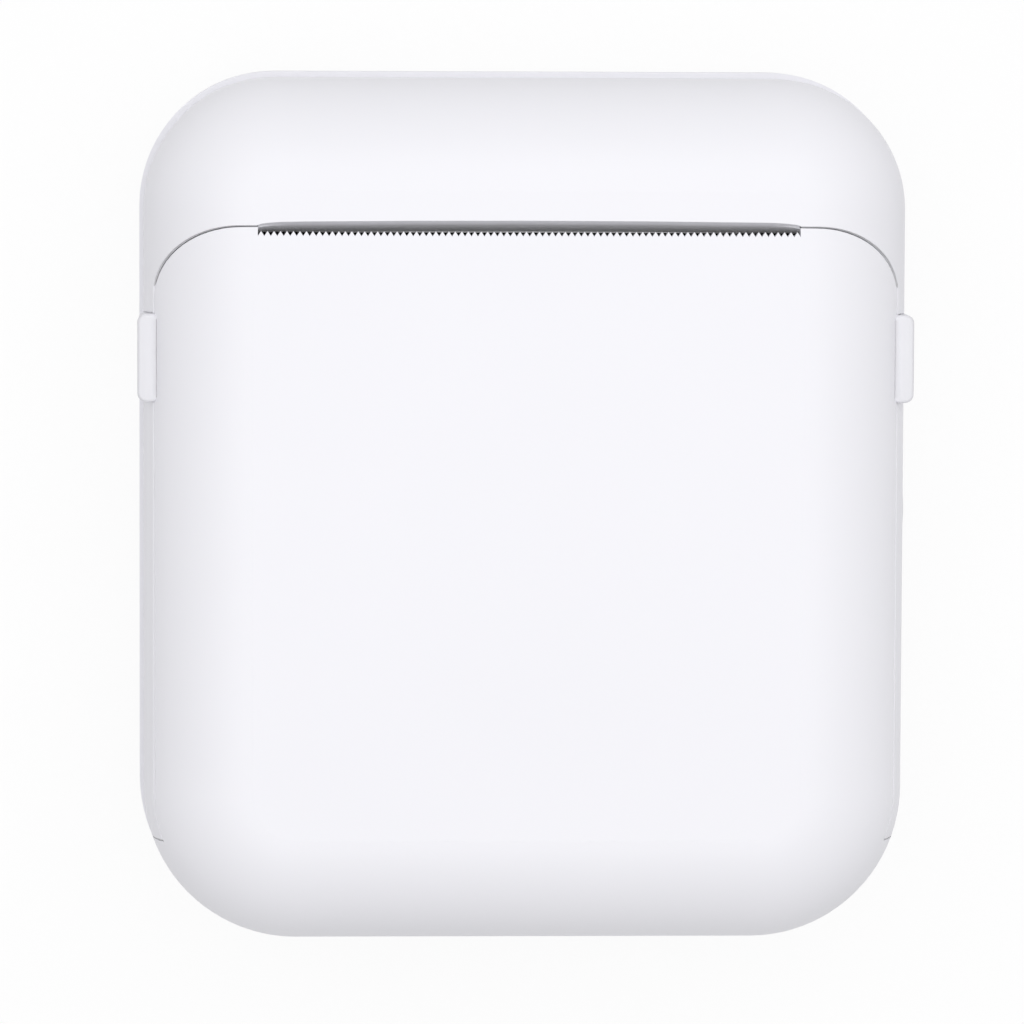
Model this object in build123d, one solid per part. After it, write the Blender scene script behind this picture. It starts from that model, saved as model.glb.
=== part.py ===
from build123d import *
from math import acos, atan2, cos, hypot, pi, radians, sin, tan
import os

# Portable thermal printer lying on its back, in millimetres.
# X is the printer's width, +Y points to the end with the paper slot, +Z out of the front face.
# The origin is on the surface it lies on, under the middle of the case.

# Paper and its roll, which the case is built around
paper_width = 57.0
bay_clearance = 0.8
trough_radius = 15.5
roll_from_platen = 35.6
roll_headroom = 1.9
ramp_angle = 30.0
tray_wall = 1.2

# Room round the tray: for gears and boards at its sides, for the screws and the hinge behind it
side_room = 9.4
hinge_room = 21.05

# Case outline
slot_corner_radius = 14.9
hinge_corner_radius = 17.3
shoulder_radius = 12.0
back_edge_radius = 13.0
foot_stand = 0.8
split_height = 19.5
rim_step = 0.65
shell_wall = 1.8
floor_wall = 2.0
tongue_wall = 0.8
tongue_rise = 1.3
tongue_clearance = 0.1

# Seam between the cover and the front frame
seam_gap = 0.2
seam_from_end = 16.45
seam_arch = 0.15
seam_corner_width = 9.4
seam_corner_length = 7.8
quarter_turn = 90
side_seam_depth = 6.8
cover_side_inset = 1.2
skirt_depth = 11.9

# Paper slot and tear edge
slot_clearance = 1.5
lip_corner_width = 4.5
lip_corner_rise = 0.42
lip_rib_depth = 3.0
lip_rib_wall = 1.2
lip_guide_reach = 1.25
lip_guide_depth = 3.2
lip_guide_nose = 0.45
teeth_pitch = 0.7
teeth_height = 0.54
teeth_root_depth = 1.05
teeth_thickness = 1.2
teeth_bevel = 0.75

# Cover hinge
hinge_radius = 2.3
hinge_pin_radius = 1.0
running_clearance = 0.05
lug_start = 14.0
lug_length = 6.0
knuckle_gap = 0.15
knuckle_length = 6.0
lug_relief = 0.1

# Pull tabs on the cover's sides
tab_from_seam = 9.8
tab_length = 9.5
tab_stand = 0.6
tab_pad_wall = 1.45
tab_root_depth = 2.25
tab_rise = 0.65
tab_drop = 4.7
tab_edge = 0.5
tab_gap = 0.15
tab_pocket_floor = 0.3

# Paper tray
tray_end_gap = 7.1
deck_below_seam = 1.0
deck_wall = 1.2
deck_side_gap = 0.3
deck_end_gap = 0.9
apron_drop = 8.0
apron_half_width = 24.0

# Platen
platen_radius = 5.0
platen_depth = 10.5
nip_behind_seam = 0.9
platen_paper_gap = 0.1
rubber_end_gap = 0.3
shaft_radius = 2.0
bushing_radius = 3.0
bushing_gap = 0.2
plate_gap = 0.5
plate_wall = 1.2
notch_clearance = 0.15
arm_wall = 1.2
arm_radius = 4.2

# Thermal head
ceramic_wall = 0.8
ceramic_height = 8.5
ceramic_below_nip = 4.0
heat_sink_wall = 2.0
head_side_gap = 0.8
heat_sink_rise = 4.7
pivot_below_nip = 8.4
pivot_behind_face = 2.3
pivot_barrel_radius = 1.9
pivot_barrel_length = 4.2
head_spring_x = 14.0
spring_radius = 2.1
spring_wire = 0.5
spring_length = 4.7
spring_turns = 4
spring_above_pivot = 9.7
bracket_wall = 0.8
bracket_height = 12.0
bracket_seat_radius = 1.4
bracket_seat_length = 1.2

# Gears
gear_module = 0.5
pressure_angle = 20.0
tooth_thinning = 0.06
tooth_dedendum = 0.56
platen_teeth = 20
idler_teeth = 18
compound_small_teeth = 12
compound_big_teeth = 26
pinion_teeth = 10
platen_tip = 0.4
idler_tip = 0.4
compound_small_tip = 0.4
compound_big_tip = 0.32
pinion_tip = 0.45
compound_direction = -110.0
motor_direction = -10.0
gear_plate_gap = 0.3
idler_width = 2.2
platen_gear_width = 2.7
gear_layer_gap = 0.2
compound_big_width = 1.6
compound_rim_wall = 1.6
compound_hub_wall = 1.0
idler_axle_radius = 0.9
compound_axle_radius = 1.0
axle_tail = 0.8
clip_wall = 0.5

# Stepper motor
motor_radius = 7.5
motor_length = 13.2
motor_flange_wall = 0.8
motor_shaft_radius = 0.75
motor_boss_radius = 2.0
motor_boss_length = 0.9
motor_ear_reach = 9.4
motor_ear_radius = 2.2
motor_ear_directions = (58.0, 196.0)
small_screw_radius = 0.7
small_screw_head = 1.4
small_screw_head_height = 0.8

# Print chassis
guide_gap = 1.0
guide_wall = 1.2
guide_start = -135.0
guide_end = -62.0
beam_below_pivot = 0.7
beam_wall = 1.7
beam_depth = 3.4
plate_below_frame = 1.4
plate_above_floor = 4.2
plate_end_margin = 1.0
plate_tray_gap = 0.5
plate_corner = 4.0
plate_lead_width = 1.6
plate_lead_height = 9.0
sensor_length = 4.4
sensor_depth = 3.4
sensor_height = 1.8
sensor_eye = 0.9
chassis_post_x = 13.0
chassis_post_from_platen = 3.9

# Posts and screws
post_radius = 3.2
post_rise = 6.0
boss_radius = 2.6
screw_radius = 1.0
screw_hole_clearance = 0.2
screw_head_radius = 1.9
screw_head_height = 1.4
screw_length = 10.0
counterbore_radius = 2.2
counterbore_depth = 3.8
tray_post_gap = 6.3
deck_screw_inset = 6.7
deck_screw_behind_roll = 18.0
deck_screw_from_button = 6.9
deck_screw_radius = 0.9
deck_screw_head_radius = 1.8
deck_screw_head_height = 1.0
deck_screw_length = 5.0
lug_half_depth = 2.8
lug_height = 6.0
lug_edge = 2.0

# Cover inner frame
inner_frame_depth = 5.0
inner_frame_wall = 1.2
inner_frame_side_gap = 2.1
inner_frame_end_gap = 4.6
inner_frame_slot_gap = 0.3
inner_frame_step = 10.6
window_side_gap = 0.6
window_low_margin = 5.0
window_high_margin = 1.5
stiffener_drop = 1.3
cover_boss_radius = 2.0
cover_boss_inset = 2.8
cover_boss_margin = 2.5
cover_boss_back = 6.0
tear_boss_x = 23.0
cover_screw_length = 3.4

# Rubber feet
foot_radius = 4.5
foot_recess = 0.5
foot_side_inset = 19.0
foot_end_inset = 18.5

# Battery and boards
battery_half_width = 26.0
battery_height = 4.7
battery_gap = 0.4
battery_post_gap = 2.8
battery_board_gap = 1.0
battery_edge = 1.0
board_wall = 1.2
main_board_width = 43.0
main_board_overhang = 4.0
main_board_length = 17.5
main_board_gap = 0.8
board_parts = (
    (6.0, 0.0, 2.5, 5.0, 1.6),
    (12.0, 0.0, 7.0, 7.0, 0.9),
    (23.0, 2.0, 5.0, 5.0, 0.9),
    (33.0, 3.0, 4.0, 3.0, 1.2),
)
standoff_inset = 2.3
standoff_height = 1.6
standoff_radius = 1.8
standoff_offset = 2.0
lamp_height = 0.8
chip_height = 1.0
chip_size = 4.2
board_edge = 1.0
link_plug_length = 6.0
link_plug_height = 1.8
link_inset = 3.0
side_board_low_margin = 8.0
side_board_high_margin = 14.5
side_board_below_line = 11.0
side_board_above_line = 3.0
pad_height = 0.8
pad_radius = 1.6

# Flat cables
ribbon_wall = 0.25
ribbon_plug_end = 1.0
ribbon_plug_size = 2.0
ribbon_screw_gap = 0.3
ribbon_inset = 3.0
ribbon_swing_gap = 0.45
ribbon_rise = 4.94
ribbon_slack = 2.4
ribbon_drop = 6.0
lead_size = 1.0
link_width = 5.0
link_rise = 0.6
link_bend = 3.0

# Side wall interfaces
side_line_rise = 6.0
usb_from_roll = -5.0
usb_length = 8.94
usb_height = 3.26
usb_wall = 0.3
usb_recess = 1.1
usb_hollow_depth = 6.2
usb_tongue_length = 6.7
usb_tongue_wall = 0.7
usb_slot_clearance = 0.35
lamp_from_roll = 2.5
light_pipe_radius = 0.9
button_from_roll = 10.0
button_radius = 2.45
button_gap = 0.15
button_stand = 0.4
button_flange = 0.9
button_flange_wall = 0.8
button_travel = 0.4
switch_size = 4.5
switch_height = 2.2
plunger_radius = 1.1
plunger_height = 1.0

# Places that follow from the sizes above: across the case
bay_half_width = paper_width / 2 + bay_clearance
tray_half_width = bay_half_width + tray_wall
slot_width = paper_width + slot_clearance
teeth_count = round(slot_width / teeth_pitch)
case_width = 2 * (tray_half_width + side_room + shell_wall + rim_step)
front_half_width = case_width / 2 - rim_step
cover_half_width = front_half_width - cover_side_inset
tab_outer_x = front_half_width + tab_stand
tab_inner_x = tab_outer_x - tab_pad_wall
tab_root_x = tab_inner_x - tab_root_depth
rubber_half_length = bay_half_width - rubber_end_gap
bushing_start = bay_half_width + bushing_gap
plate_start = tray_half_width + plate_gap
plate_end = plate_start + plate_wall
heat_sink_half_width = plate_start - head_side_gap
gear_start = plate_end + gear_plate_gap
gear_layer_two = gear_start + idler_width + gear_layer_gap
window_half_width = bay_half_width + window_side_gap
inner_frame_half_width = plate_end + inner_frame_side_gap
deck_screw_x = front_half_width - deck_screw_inset
lug_inner_x = deck_screw_x - lug_edge
pin_reach = lug_start + lug_length + knuckle_gap + knuckle_length
board_face_x = tray_half_width + pad_height
board_front_x = board_face_x + board_wall
usb_reach = front_half_width - usb_recess
main_board_low_x = -battery_half_width - main_board_overhang
main_board_high_x = main_board_low_x + main_board_width
foot_x = case_width / 2 - foot_side_inset

# Up from the surface it lies on
floor_z = foot_stand + floor_wall
trough_floor = floor_z + battery_height + battery_gap + tray_wall
roll_z = trough_floor + trough_radius
case_height = trough_floor + 2 * trough_radius + roll_headroom
skin_z = case_height - shell_wall
side_seam_height = case_height - side_seam_depth
deck_height = side_seam_height - deck_below_seam
tab_top = side_seam_height + tab_rise
tab_bottom = side_seam_height - tab_drop
platen_height = case_height - platen_depth
inner_frame_low = case_height - inner_frame_depth
inner_frame_high = inner_frame_low + inner_frame_wall
pivot_z = platen_height - pivot_below_nip
spring_z = pivot_z + spring_above_pivot
sink_top_z = platen_height + heat_sink_rise
beam_high = pivot_z - beam_below_pivot
beam_low = beam_high - beam_wall
plate_top = inner_frame_low - plate_below_frame
plate_bottom = floor_z + plate_above_floor
post_height = floor_z + post_rise
hinge_z = split_height + seam_gap + hinge_radius
side_line_z = split_height + side_line_rise
side_board_low_z = side_line_z - side_board_below_line
side_board_high_z = side_line_z + side_board_above_line

# Along the case, from the seam back to the hinge
roll_from_end = seam_from_end + nip_behind_seam + platen_radius + roll_from_platen
case_length = roll_from_end + trough_radius + tray_wall + hinge_room
front_half_length = case_length / 2 - rim_step
rear_wall = shell_wall + rim_step + tongue_clearance
seam_y = case_length / 2 - seam_from_end
nip_y = seam_y - nip_behind_seam
platen_y = nip_y - platen_radius
roll_y = platen_y - roll_from_platen
tray_front_y = platen_y - tray_end_gap
tab_high_y = seam_y - tab_from_seam
tab_low_y = tab_high_y - tab_length
lip_start_y = seam_y + seam_gap / 2
lip_y = lip_start_y + lip_corner_rise
lip_nose_y = lip_y - lip_guide_reach
teeth_root_y = seam_y - teeth_root_depth
teeth_tip_y = teeth_root_y + teeth_height
head_face_y = nip_y + platen_paper_gap
pivot_y = head_face_y + pivot_behind_face
sink_front_y = head_face_y + ceramic_wall
sink_back_y = sink_front_y + heat_sink_wall
bracket_y = sink_back_y + spring_length
plate_rear = bracket_y + bracket_wall + plate_end_margin
chassis_post_y = platen_y + chassis_post_from_platen
main_board_high_y = chassis_post_y - post_radius - main_board_gap
main_board_low_y = main_board_high_y - main_board_length
tray_post_y = roll_y - trough_radius - tray_wall - tray_post_gap
battery_high_y = main_board_low_y - battery_board_gap
battery_low_y = tray_post_y + post_radius + battery_post_gap
skirt_y = -(case_length / 2 - skirt_depth)
hinge_y = -(front_half_length - hinge_radius)
inner_frame_low_y = skirt_y + inner_frame_end_gap
inner_frame_step_y = platen_y - inner_frame_step
window_low_y = inner_frame_low_y + window_low_margin
window_high_y = inner_frame_step_y - window_high_margin
usb_y = roll_y + usb_from_roll
lamp_y = roll_y + lamp_from_roll
button_y = roll_y + button_from_roll
deck_screw_ys = (roll_y - deck_screw_behind_roll, button_y + deck_screw_from_button)
side_board_low_y = usb_y - side_board_low_margin
side_board_high_y = button_y + side_board_high_margin
link_y = side_board_high_y - link_inset
foot_y = case_length / 2 - foot_end_inset

# Gear places: the idler lies under the platen gear, along the line on which the cover lifts it off
opening_angle = atan2(platen_y - hinge_y, -(platen_height - hinge_z))
platen_idler_distance = gear_module * (platen_teeth + idler_teeth) / 2
idler_compound_distance = gear_module * (idler_teeth + compound_small_teeth) / 2
compound_motor_distance = gear_module * (compound_big_teeth + pinion_teeth) / 2
platen_point = (platen_y, platen_height)
idler_point = (
    platen_y - platen_idler_distance * cos(opening_angle),
    platen_height - platen_idler_distance * sin(opening_angle),
)
compound_point = (
    idler_point[0] + idler_compound_distance * cos(radians(compound_direction)),
    idler_point[1] + idler_compound_distance * sin(radians(compound_direction)),
)
motor_point = (
    compound_point[0] + compound_motor_distance * cos(radians(motor_direction)),
    compound_point[1] + compound_motor_distance * sin(radians(motor_direction)),
)


def block(low_x, high_x, low_y, high_y, low_z, high_z):
    size = Box(high_x - low_x, high_y - low_y, high_z - low_z)
    return Pos((low_x + high_x) / 2, (low_y + high_y) / 2, (low_z + high_z) / 2) * size


def across(profile, low_x, high_x):
    """A profile drawn in Y and Z, extruded along X."""
    return extrude(Plane.YZ.offset(low_x) * profile, amount=high_x - low_x)


def rod_x(y, z, radius, low_x, high_x):
    return across(Pos(y, z) * Circle(radius), low_x, high_x)


def rod_y(x, z, radius, low_y, high_y):
    return extrude(Plane.XZ.offset(-low_y) * (Pos(x, z) * Circle(radius)), amount=low_y - high_y)


def rod_z(x, y, radius, low_z, high_z):
    return extrude(Pos(x, y, low_z) * Circle(radius), amount=high_z - low_z)


def both_sides(solid):
    return [solid, mirror(solid, about=Plane.YZ)]


def polygon(points):
    return make_face(Polyline(*points, close=True))


def slab(side_inset, end_inset, low_z, high_z):
    """A plate with the case's outline, drawn in from its sides and its ends."""
    outline = Rectangle(case_width - 2 * side_inset, case_length - 2 * end_inset)
    outline = fillet(outline.vertices().group_by(Axis.Y)[-1], slot_corner_radius - end_inset)
    outline = fillet(outline.vertices().group_by(Axis.Y)[0], hinge_corner_radius - end_inset)
    return extrude(Pos(0, 0, low_z) * outline, amount=high_z - low_z)


def front_form(inset, low_z):
    """The pillow-shaped front of the case, drawn in by an inset."""
    form = slab(rim_step + inset, rim_step + inset, low_z, case_height - inset)
    return fillet(form.faces().sort_by(Axis.Z)[-1].edges(), shoulder_radius - inset)


def back_form(inset, bottom_z, edge_radius, high_z):
    """The dished back of the case, drawn in by an inset."""
    form = slab(inset, inset, bottom_z, high_z)
    return fillet(form.faces().sort_by(Axis.Z)[0].edges(), edge_radius)


def quarter_arc(centre, width, length, start):
    """A quarter of an ellipse, from its +X side if the start is 0, or from its +Y side."""
    return EllipticalCenterArc(centre, width, length, start, arc_size=quarter_turn)


def seam_face(grow):
    """The cover's outline seen from the front, grown or drawn in at its edge."""
    side_x = cover_half_width + grow
    flat_x = side_x - seam_corner_width
    top_y = seam_y + grow
    corner_y = top_y - seam_corner_length
    low_y = -case_length
    edges = [
        Line((-side_x, low_y), (side_x, low_y)),
        Line((side_x, low_y), (side_x, corner_y)),
        quarter_arc((flat_x, corner_y), seam_corner_width, seam_corner_length, 0),
        ThreePointArc((flat_x, top_y), (0, top_y + seam_arch), (-flat_x, top_y)),
        quarter_arc((-flat_x, corner_y), seam_corner_width, seam_corner_length, quarter_turn),
        Line((-side_x, corner_y), (-side_x, low_y)),
    ]
    return make_face(edges)


def cover_space(grow):
    """Everything that belongs to the cover: above the side seam, and the whole of the lower end."""
    side_z = side_seam_height - grow
    lid = extrude(Pos(0, 0, side_z) * seam_face(grow), amount=case_height)
    end = block(-case_width, case_width, -case_length, skirt_y + grow, split_height - 1, side_z + 1)
    return lid + end


def hinge_barrel(radius, low_x, high_x):
    return rod_x(hinge_y, hinge_z, radius, low_x, high_x)


def hinge_ring(outer, inner, low_x, high_x):
    """A ring about the hinge axis, the path of whatever the cover carries."""
    return hinge_barrel(outer, low_x, high_x) - hinge_barrel(inner, low_x, high_x)


def slot_space():
    """The paper slot: its lip leaves the seam at both ends, arches gently and leans back as it goes down."""
    half = slot_width / 2
    flat = half - lip_corner_width
    low_y = lip_start_y - platen_radius
    edges = [
        Line((-half, low_y), (half, low_y)),
        Line((half, low_y), (half, lip_start_y)),
        quarter_arc((flat, lip_start_y), lip_corner_width, lip_corner_rise, 0),
        ThreePointArc((flat, lip_y), (0, lip_y + seam_arch), (-flat, lip_y)),
        quarter_arc((-flat, lip_start_y), lip_corner_width, lip_corner_rise, quarter_turn),
        Line((-half, lip_start_y), (-half, low_y)),
    ]
    face = Pos(0, 0, case_height) * make_face(edges)
    slope = (0, -lip_guide_reach, -lip_guide_depth)
    return extrude(face, amount=hypot(lip_guide_reach, lip_guide_depth), dir=slope)


def lip_guide_face():
    """The section of the slot's lip: a rib behind it and a nose that turns the paper out of the slot."""
    rib_low = skin_z - lip_rib_depth
    nose_z = case_height - lip_guide_depth
    return polygon(
        [
            (lip_nose_y, case_height),
            (lip_nose_y, nose_z),
            (lip_nose_y + lip_guide_nose, nose_z - lip_guide_nose),
            (lip_y + lip_rib_wall, rib_low),
            (lip_y + lip_rib_wall, case_height),
        ]
    )


# Rear shell and what is fixed to it


def case_screw_points():
    points = []
    for side in (-1, 1):
        points.append((side * chassis_post_x, chassis_post_y))
        points.append((side * chassis_post_x, tray_post_y))
    return points


def foot_points():
    return [(i * foot_x, j * foot_y) for i in (-1, 1) for j in (-1, 1)]


def lug_ranges():
    return [(-lug_start - lug_length, -lug_start), (lug_start, lug_start + lug_length)]


def make_rear_shell():
    shell = back_form(0, foot_stand, back_edge_radius, split_height)
    shell -= back_form(rear_wall, floor_z, back_edge_radius - floor_wall, split_height + 1)
    inner = rim_step + shell_wall + tongue_clearance
    tongue = slab(inner, inner, split_height - 2 * tongue_rise, split_height + tongue_rise)
    inner += tongue_wall
    tongue -= slab(inner, inner, 0, case_height)
    clear_y = skirt_y + seam_gap + tongue_rise
    shell += tongue & block(-case_width, case_width, clear_y, case_length, 0, case_height)
    for x, y in case_screw_points():
        shell += rod_z(x, y, post_radius, floor_z - floor_wall / 2, post_height)
    for x, y in main_standoffs():
        shell += rod_z(x, y, standoff_radius, floor_z - floor_wall / 2, floor_z + standoff_height)
    wall_y = -case_length / 2 + rear_wall
    for low, high in lug_ranges():
        lug = hinge_barrel(hinge_radius - lug_relief, low, high)
        lug += block(low, high, hinge_y - lug_relief, hinge_y + hinge_radius - lug_relief,
                     split_height - 5, hinge_z)
        lug += block(low, high, wall_y - shell_wall / 2, hinge_y + hinge_radius - lug_relief,
                     split_height - 5, split_height)
        shell += lug
        shell -= hinge_barrel(hinge_pin_radius, low - 1, high + 1)
    for x, y in case_screw_points():
        shell -= rod_z(x, y, counterbore_radius, 0, foot_stand + counterbore_depth)
        shell -= rod_z(x, y, screw_radius + screw_hole_clearance, 0, post_height + 1)
    for x, y in main_standoffs():
        shell -= rod_z(x, y, small_screw_radius, floor_z, floor_z + standoff_height + 1)
    for x, y in foot_points():
        shell -= rod_z(x, y, foot_radius, 0, foot_stand + foot_recess)
    return shell


def make_rubber_feet():
    feet = []
    for x, y in foot_points():
        foot = rod_z(x, y, foot_radius, 0, foot_stand + foot_recess)
        feet.append(chamfer(foot.faces().sort_by(Axis.Z)[0].edges(), foot_stand / 3))
    return feet


def screw(radius, length, head_radius, head_height):
    """A pan-head screw that points up, with its head's underside at the origin."""
    head = rod_z(0, 0, head_radius, -head_height, 0)
    head = fillet(head.faces().sort_by(Axis.Z)[0].edges(), head_height * 0.4)
    recess = Pos(0, 0, -head_height) * Box(head_radius * 1.1, head_height * 0.3, head_height)
    recess += Pos(0, 0, -head_height) * Box(head_height * 0.3, head_radius * 1.1, head_height)
    shank = rod_z(0, 0, radius, 0, length)
    return (head + chamfer(shank.faces().sort_by(Axis.Z)[-1].edges(), radius / 2)) - recess


def make_case_screws():
    model = screw(screw_radius, screw_length, screw_head_radius, screw_head_height)
    return [Pos(x, y, foot_stand + counterbore_depth) * model for x, y in case_screw_points()]


def make_hinge_pin():
    return hinge_barrel(hinge_pin_radius, -pin_reach, pin_reach)


# Front frame


def tab_space(low_x, high_x, low_z, high_z, clearance):
    """Room for a pull tab: flat at its upper end, and round the hinge axis at its lower end."""
    reach = hypot(tab_low_y - hinge_y, side_seam_height - hinge_z) - clearance
    space = block(low_x, high_x, hinge_y, tab_high_y + clearance, low_z, high_z)
    return space - hinge_barrel(reach, low_x, high_x)


def make_front_frame():
    shell = front_form(0, split_height) - front_form(shell_wall, split_height - 1)
    shell -= cover_space(seam_gap / 2)
    guide = across(lip_guide_face(), -slot_width / 2, slot_width / 2)
    shell += guide & front_form(shell_wall / 2, split_height)
    shell -= slot_space()
    keep = front_form(shell_wall / 2, split_height)
    for y in deck_screw_ys:
        lug = block(
            lug_inner_x,
            front_half_width,
            y - lug_half_depth,
            y + lug_half_depth,
            deck_height - deck_wall - lug_height,
            deck_height - deck_wall,
        )
        lug = lug & keep
        lug -= rod_z(deck_screw_x, y, deck_screw_radius, 0, case_height)
        for piece in both_sides(lug):
            shell += piece
    pocket = tab_space(tab_inner_x - tab_gap, case_width, tab_bottom - tab_pocket_floor, case_height, tab_gap)
    for piece in both_sides(pocket):
        shell -= piece
    shell -= usb_opening(usb_slot_clearance)
    shell -= rod_x(lamp_y, side_line_z, light_pipe_radius, lug_inner_x, case_width)
    shell -= rod_x(button_y, side_line_z, button_radius + button_gap, lug_inner_x, case_width)
    return shell


# Cover


def knuckle_ranges():
    outer_low = lug_start + lug_length + knuckle_gap
    outer_high = outer_low + knuckle_length
    inner = lug_start - knuckle_gap
    return [(-outer_high, -outer_low), (-inner, inner), (outer_low, outer_high)]


def make_cover_shell():
    shell = front_form(0, split_height) - front_form(shell_wall, split_height - 1)
    shell = shell & cover_space(-seam_gap / 2)
    wide = case_width / 2
    low_z = hinge_z - hinge_radius
    keep = block(-wide, wide, -case_length, case_length, hinge_z, case_height + 1)
    keep += block(-wide, wide, hinge_y, case_length, low_z, case_height + 1)
    keep += hinge_barrel(hinge_radius, -wide, wide)
    shell = shell & keep
    swing = hinge_barrel(skirt_y - seam_gap / 2 - hinge_y, -wide, wide)
    shell -= block(-wide, wide, hinge_y, tray_front_y, low_z - 1, hinge_z) - swing
    for low, high in knuckle_ranges():
        shell += hinge_barrel(hinge_radius, low, high)
    for low, high in lug_ranges():
        low -= knuckle_gap
        high += knuckle_gap
        relief = hinge_radius + 1.5 * lug_relief
        shell -= hinge_barrel(relief, low, high)
        shell -= block(low, high, -case_length, hinge_y + relief, 0, hinge_z)
    shell -= hinge_barrel(hinge_pin_radius + running_clearance, -pin_reach, pin_reach)
    half = slot_width / 2
    shell -= block(-half, half, teeth_root_y, seam_y + 1, inner_frame_high, case_height + 1)
    shell += tear_edge()
    for x, y in cover_bosses():
        shell += rod_z(x, y, cover_boss_radius, inner_frame_high, case_height - shell_wall / 2)
    for x, y in cover_bosses():
        shell -= rod_z(x, y, small_screw_radius, inner_frame_low, inner_frame_low + cover_screw_length)
    for tab in make_pull_tabs():
        shell -= tab
    return shell


def tear_edge():
    """A saw-toothed strip along the slot, flush with the cover's face and bevelled below."""
    half = slot_width / 2
    pitch = slot_width / teeth_count
    base_y = teeth_root_y - shell_wall
    low_z = case_height - teeth_thickness
    points = [(half, base_y), (-half, base_y), (-half, teeth_root_y)]
    for i in range(teeth_count):
        start = -half + i * pitch
        points.append((start + pitch / 2, teeth_tip_y))
        points.append((start + pitch, teeth_root_y))
    strip = extrude(Pos(0, 0, low_z) * polygon(points), amount=teeth_thickness)
    bevel = polygon([(teeth_root_y, low_z), (teeth_tip_y, low_z), (teeth_tip_y, low_z + teeth_bevel)])
    return strip - across(bevel, -half - 1, half + 1)


def cover_bosses():
    side_x = inner_frame_half_width - cover_boss_inset
    points = [
        (side_x, inner_frame_low_y + cover_boss_margin),
        (side_x, inner_frame_step_y - cover_boss_back),
        (tear_boss_x, inner_frame_step_y + cover_boss_margin),
    ]
    return [(side * x, y) for side in (-1, 1) for x, y in points]


def make_pull_tabs():
    pad = tab_space(tab_inner_x, tab_outer_x, tab_bottom, tab_top, 0)
    outer = pad.faces().sort_by(Axis.X)[-1]
    top = pad.faces().sort_by(Axis.Z)[-1]
    ends = top.edges().filter_by(Axis.X)
    pad = fillet(outer.edges() + ends, tab_edge)
    root_low = side_seam_height + seam_gap / 2
    root = block(tab_root_x, tab_inner_x, tab_low_y + tab_edge, tab_high_y - tab_edge, root_low, tab_top)
    return both_sides(pad + root)


def make_cover_inner_frame():
    low, high = inner_frame_low, inner_frame_high
    side = inner_frame_half_width
    front_y = teeth_root_y - inner_frame_slot_gap
    plate = block(-side, side, inner_frame_low_y, inner_frame_step_y, low, high)
    plate += block(-plate_start, plate_start, inner_frame_step_y, front_y, low, high)
    plate -= block(-window_half_width, window_half_width, window_low_y, window_high_y, low - 1, high + 1)
    flange_low = low - stiffener_drop
    flange = block(side - inner_frame_wall, side, inner_frame_low_y, inner_frame_step_y, flange_low, high)
    arm = across(arm_face(), bushing_start, bushing_start + arm_wall)
    gusset = across(
        polygon(
            [
                (platen_y - arm_radius, low),
                (platen_y - arm_radius, platen_height + arm_radius / 2),
                (platen_y - 2 * arm_radius, low),
            ]
        ),
        bushing_start,
        bushing_start + arm_wall,
    )
    for piece in both_sides(flange) + both_sides(arm) + both_sides(gusset):
        plate += piece
    rib_y = window_high_y + inner_frame_wall
    plate += block(-window_half_width, window_half_width, window_high_y, rib_y, flange_low, high)
    plate -= rod_x(platen_y, platen_height, bushing_radius, -case_width, case_width)
    for x, y in cover_bosses():
        plate -= rod_z(x, y, small_screw_radius, low - 1, high + 1)
    return plate


def arm_face():
    """The outline of an arm that hangs from the inner frame and holds a platen bushing."""
    top = inner_frame_low + inner_frame_wall / 2
    stem = polygon(
        [
            (platen_y - arm_radius, top),
            (platen_y - arm_radius, platen_height),
            (platen_y + arm_radius, platen_height),
            (platen_y + arm_radius * 0.7, top),
        ]
    )
    return stem + Pos(platen_y, platen_height) * Circle(arm_radius)


def make_cover_screws():
    model = screw(small_screw_radius, cover_screw_length, small_screw_head, small_screw_head_height)
    return [Pos(x, y, inner_frame_low) * model for x, y in cover_bosses()]


# Platen


def shaft_ends():
    right = gear_start + platen_gear_width + clip_wall + axle_tail / 2
    left = plate_end + clip_wall + axle_tail
    return -left, right


def make_platen_shaft():
    low, high = shaft_ends()
    shaft = rod_x(platen_y, platen_height, shaft_radius, low, high)
    ends = [shaft.faces().sort_by(Axis.X)[0], shaft.faces().sort_by(Axis.X)[-1]]
    return chamfer([edge for face in ends for edge in face.edges()], axle_tail / 4)


def make_platen_rubber():
    sleeve = rod_x(platen_y, platen_height, platen_radius, -rubber_half_length, rubber_half_length)
    ends = [sleeve.faces().sort_by(Axis.X)[0], sleeve.faces().sort_by(Axis.X)[-1]]
    sleeve = chamfer([edge for face in ends for edge in face.edges()], axle_tail / 2)
    return sleeve - rod_x(platen_y, platen_height, shaft_radius, -case_width, case_width)


def make_bushings():
    bushing = rod_x(platen_y, platen_height, bushing_radius, bushing_start, plate_end)
    bore = rod_x(platen_y, platen_height, shaft_radius + running_clearance, 0, case_width)
    return both_sides(bushing - bore)


def clip(y, z, shaft, outer, low_x):
    """A snap ring with an open mouth, seated on a shaft."""
    ring = Pos(y, z) * (Circle(outer) - Circle(shaft))
    mouth = Pos(y, z - outer) * Rectangle(shaft, 2 * outer)
    return across(ring - mouth, low_x, low_x + clip_wall)


def make_platen_clips():
    outer = shaft_radius * 1.7
    right_x = gear_start + platen_gear_width
    left_x = -(plate_end + axle_tail / 2 + clip_wall)
    return [
        clip(platen_y, platen_height, shaft_radius, outer, right_x),
        clip(platen_y, platen_height, shaft_radius, outer, left_x),
    ]


# Gears


def involute(angle):
    return tan(angle) - angle


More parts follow.
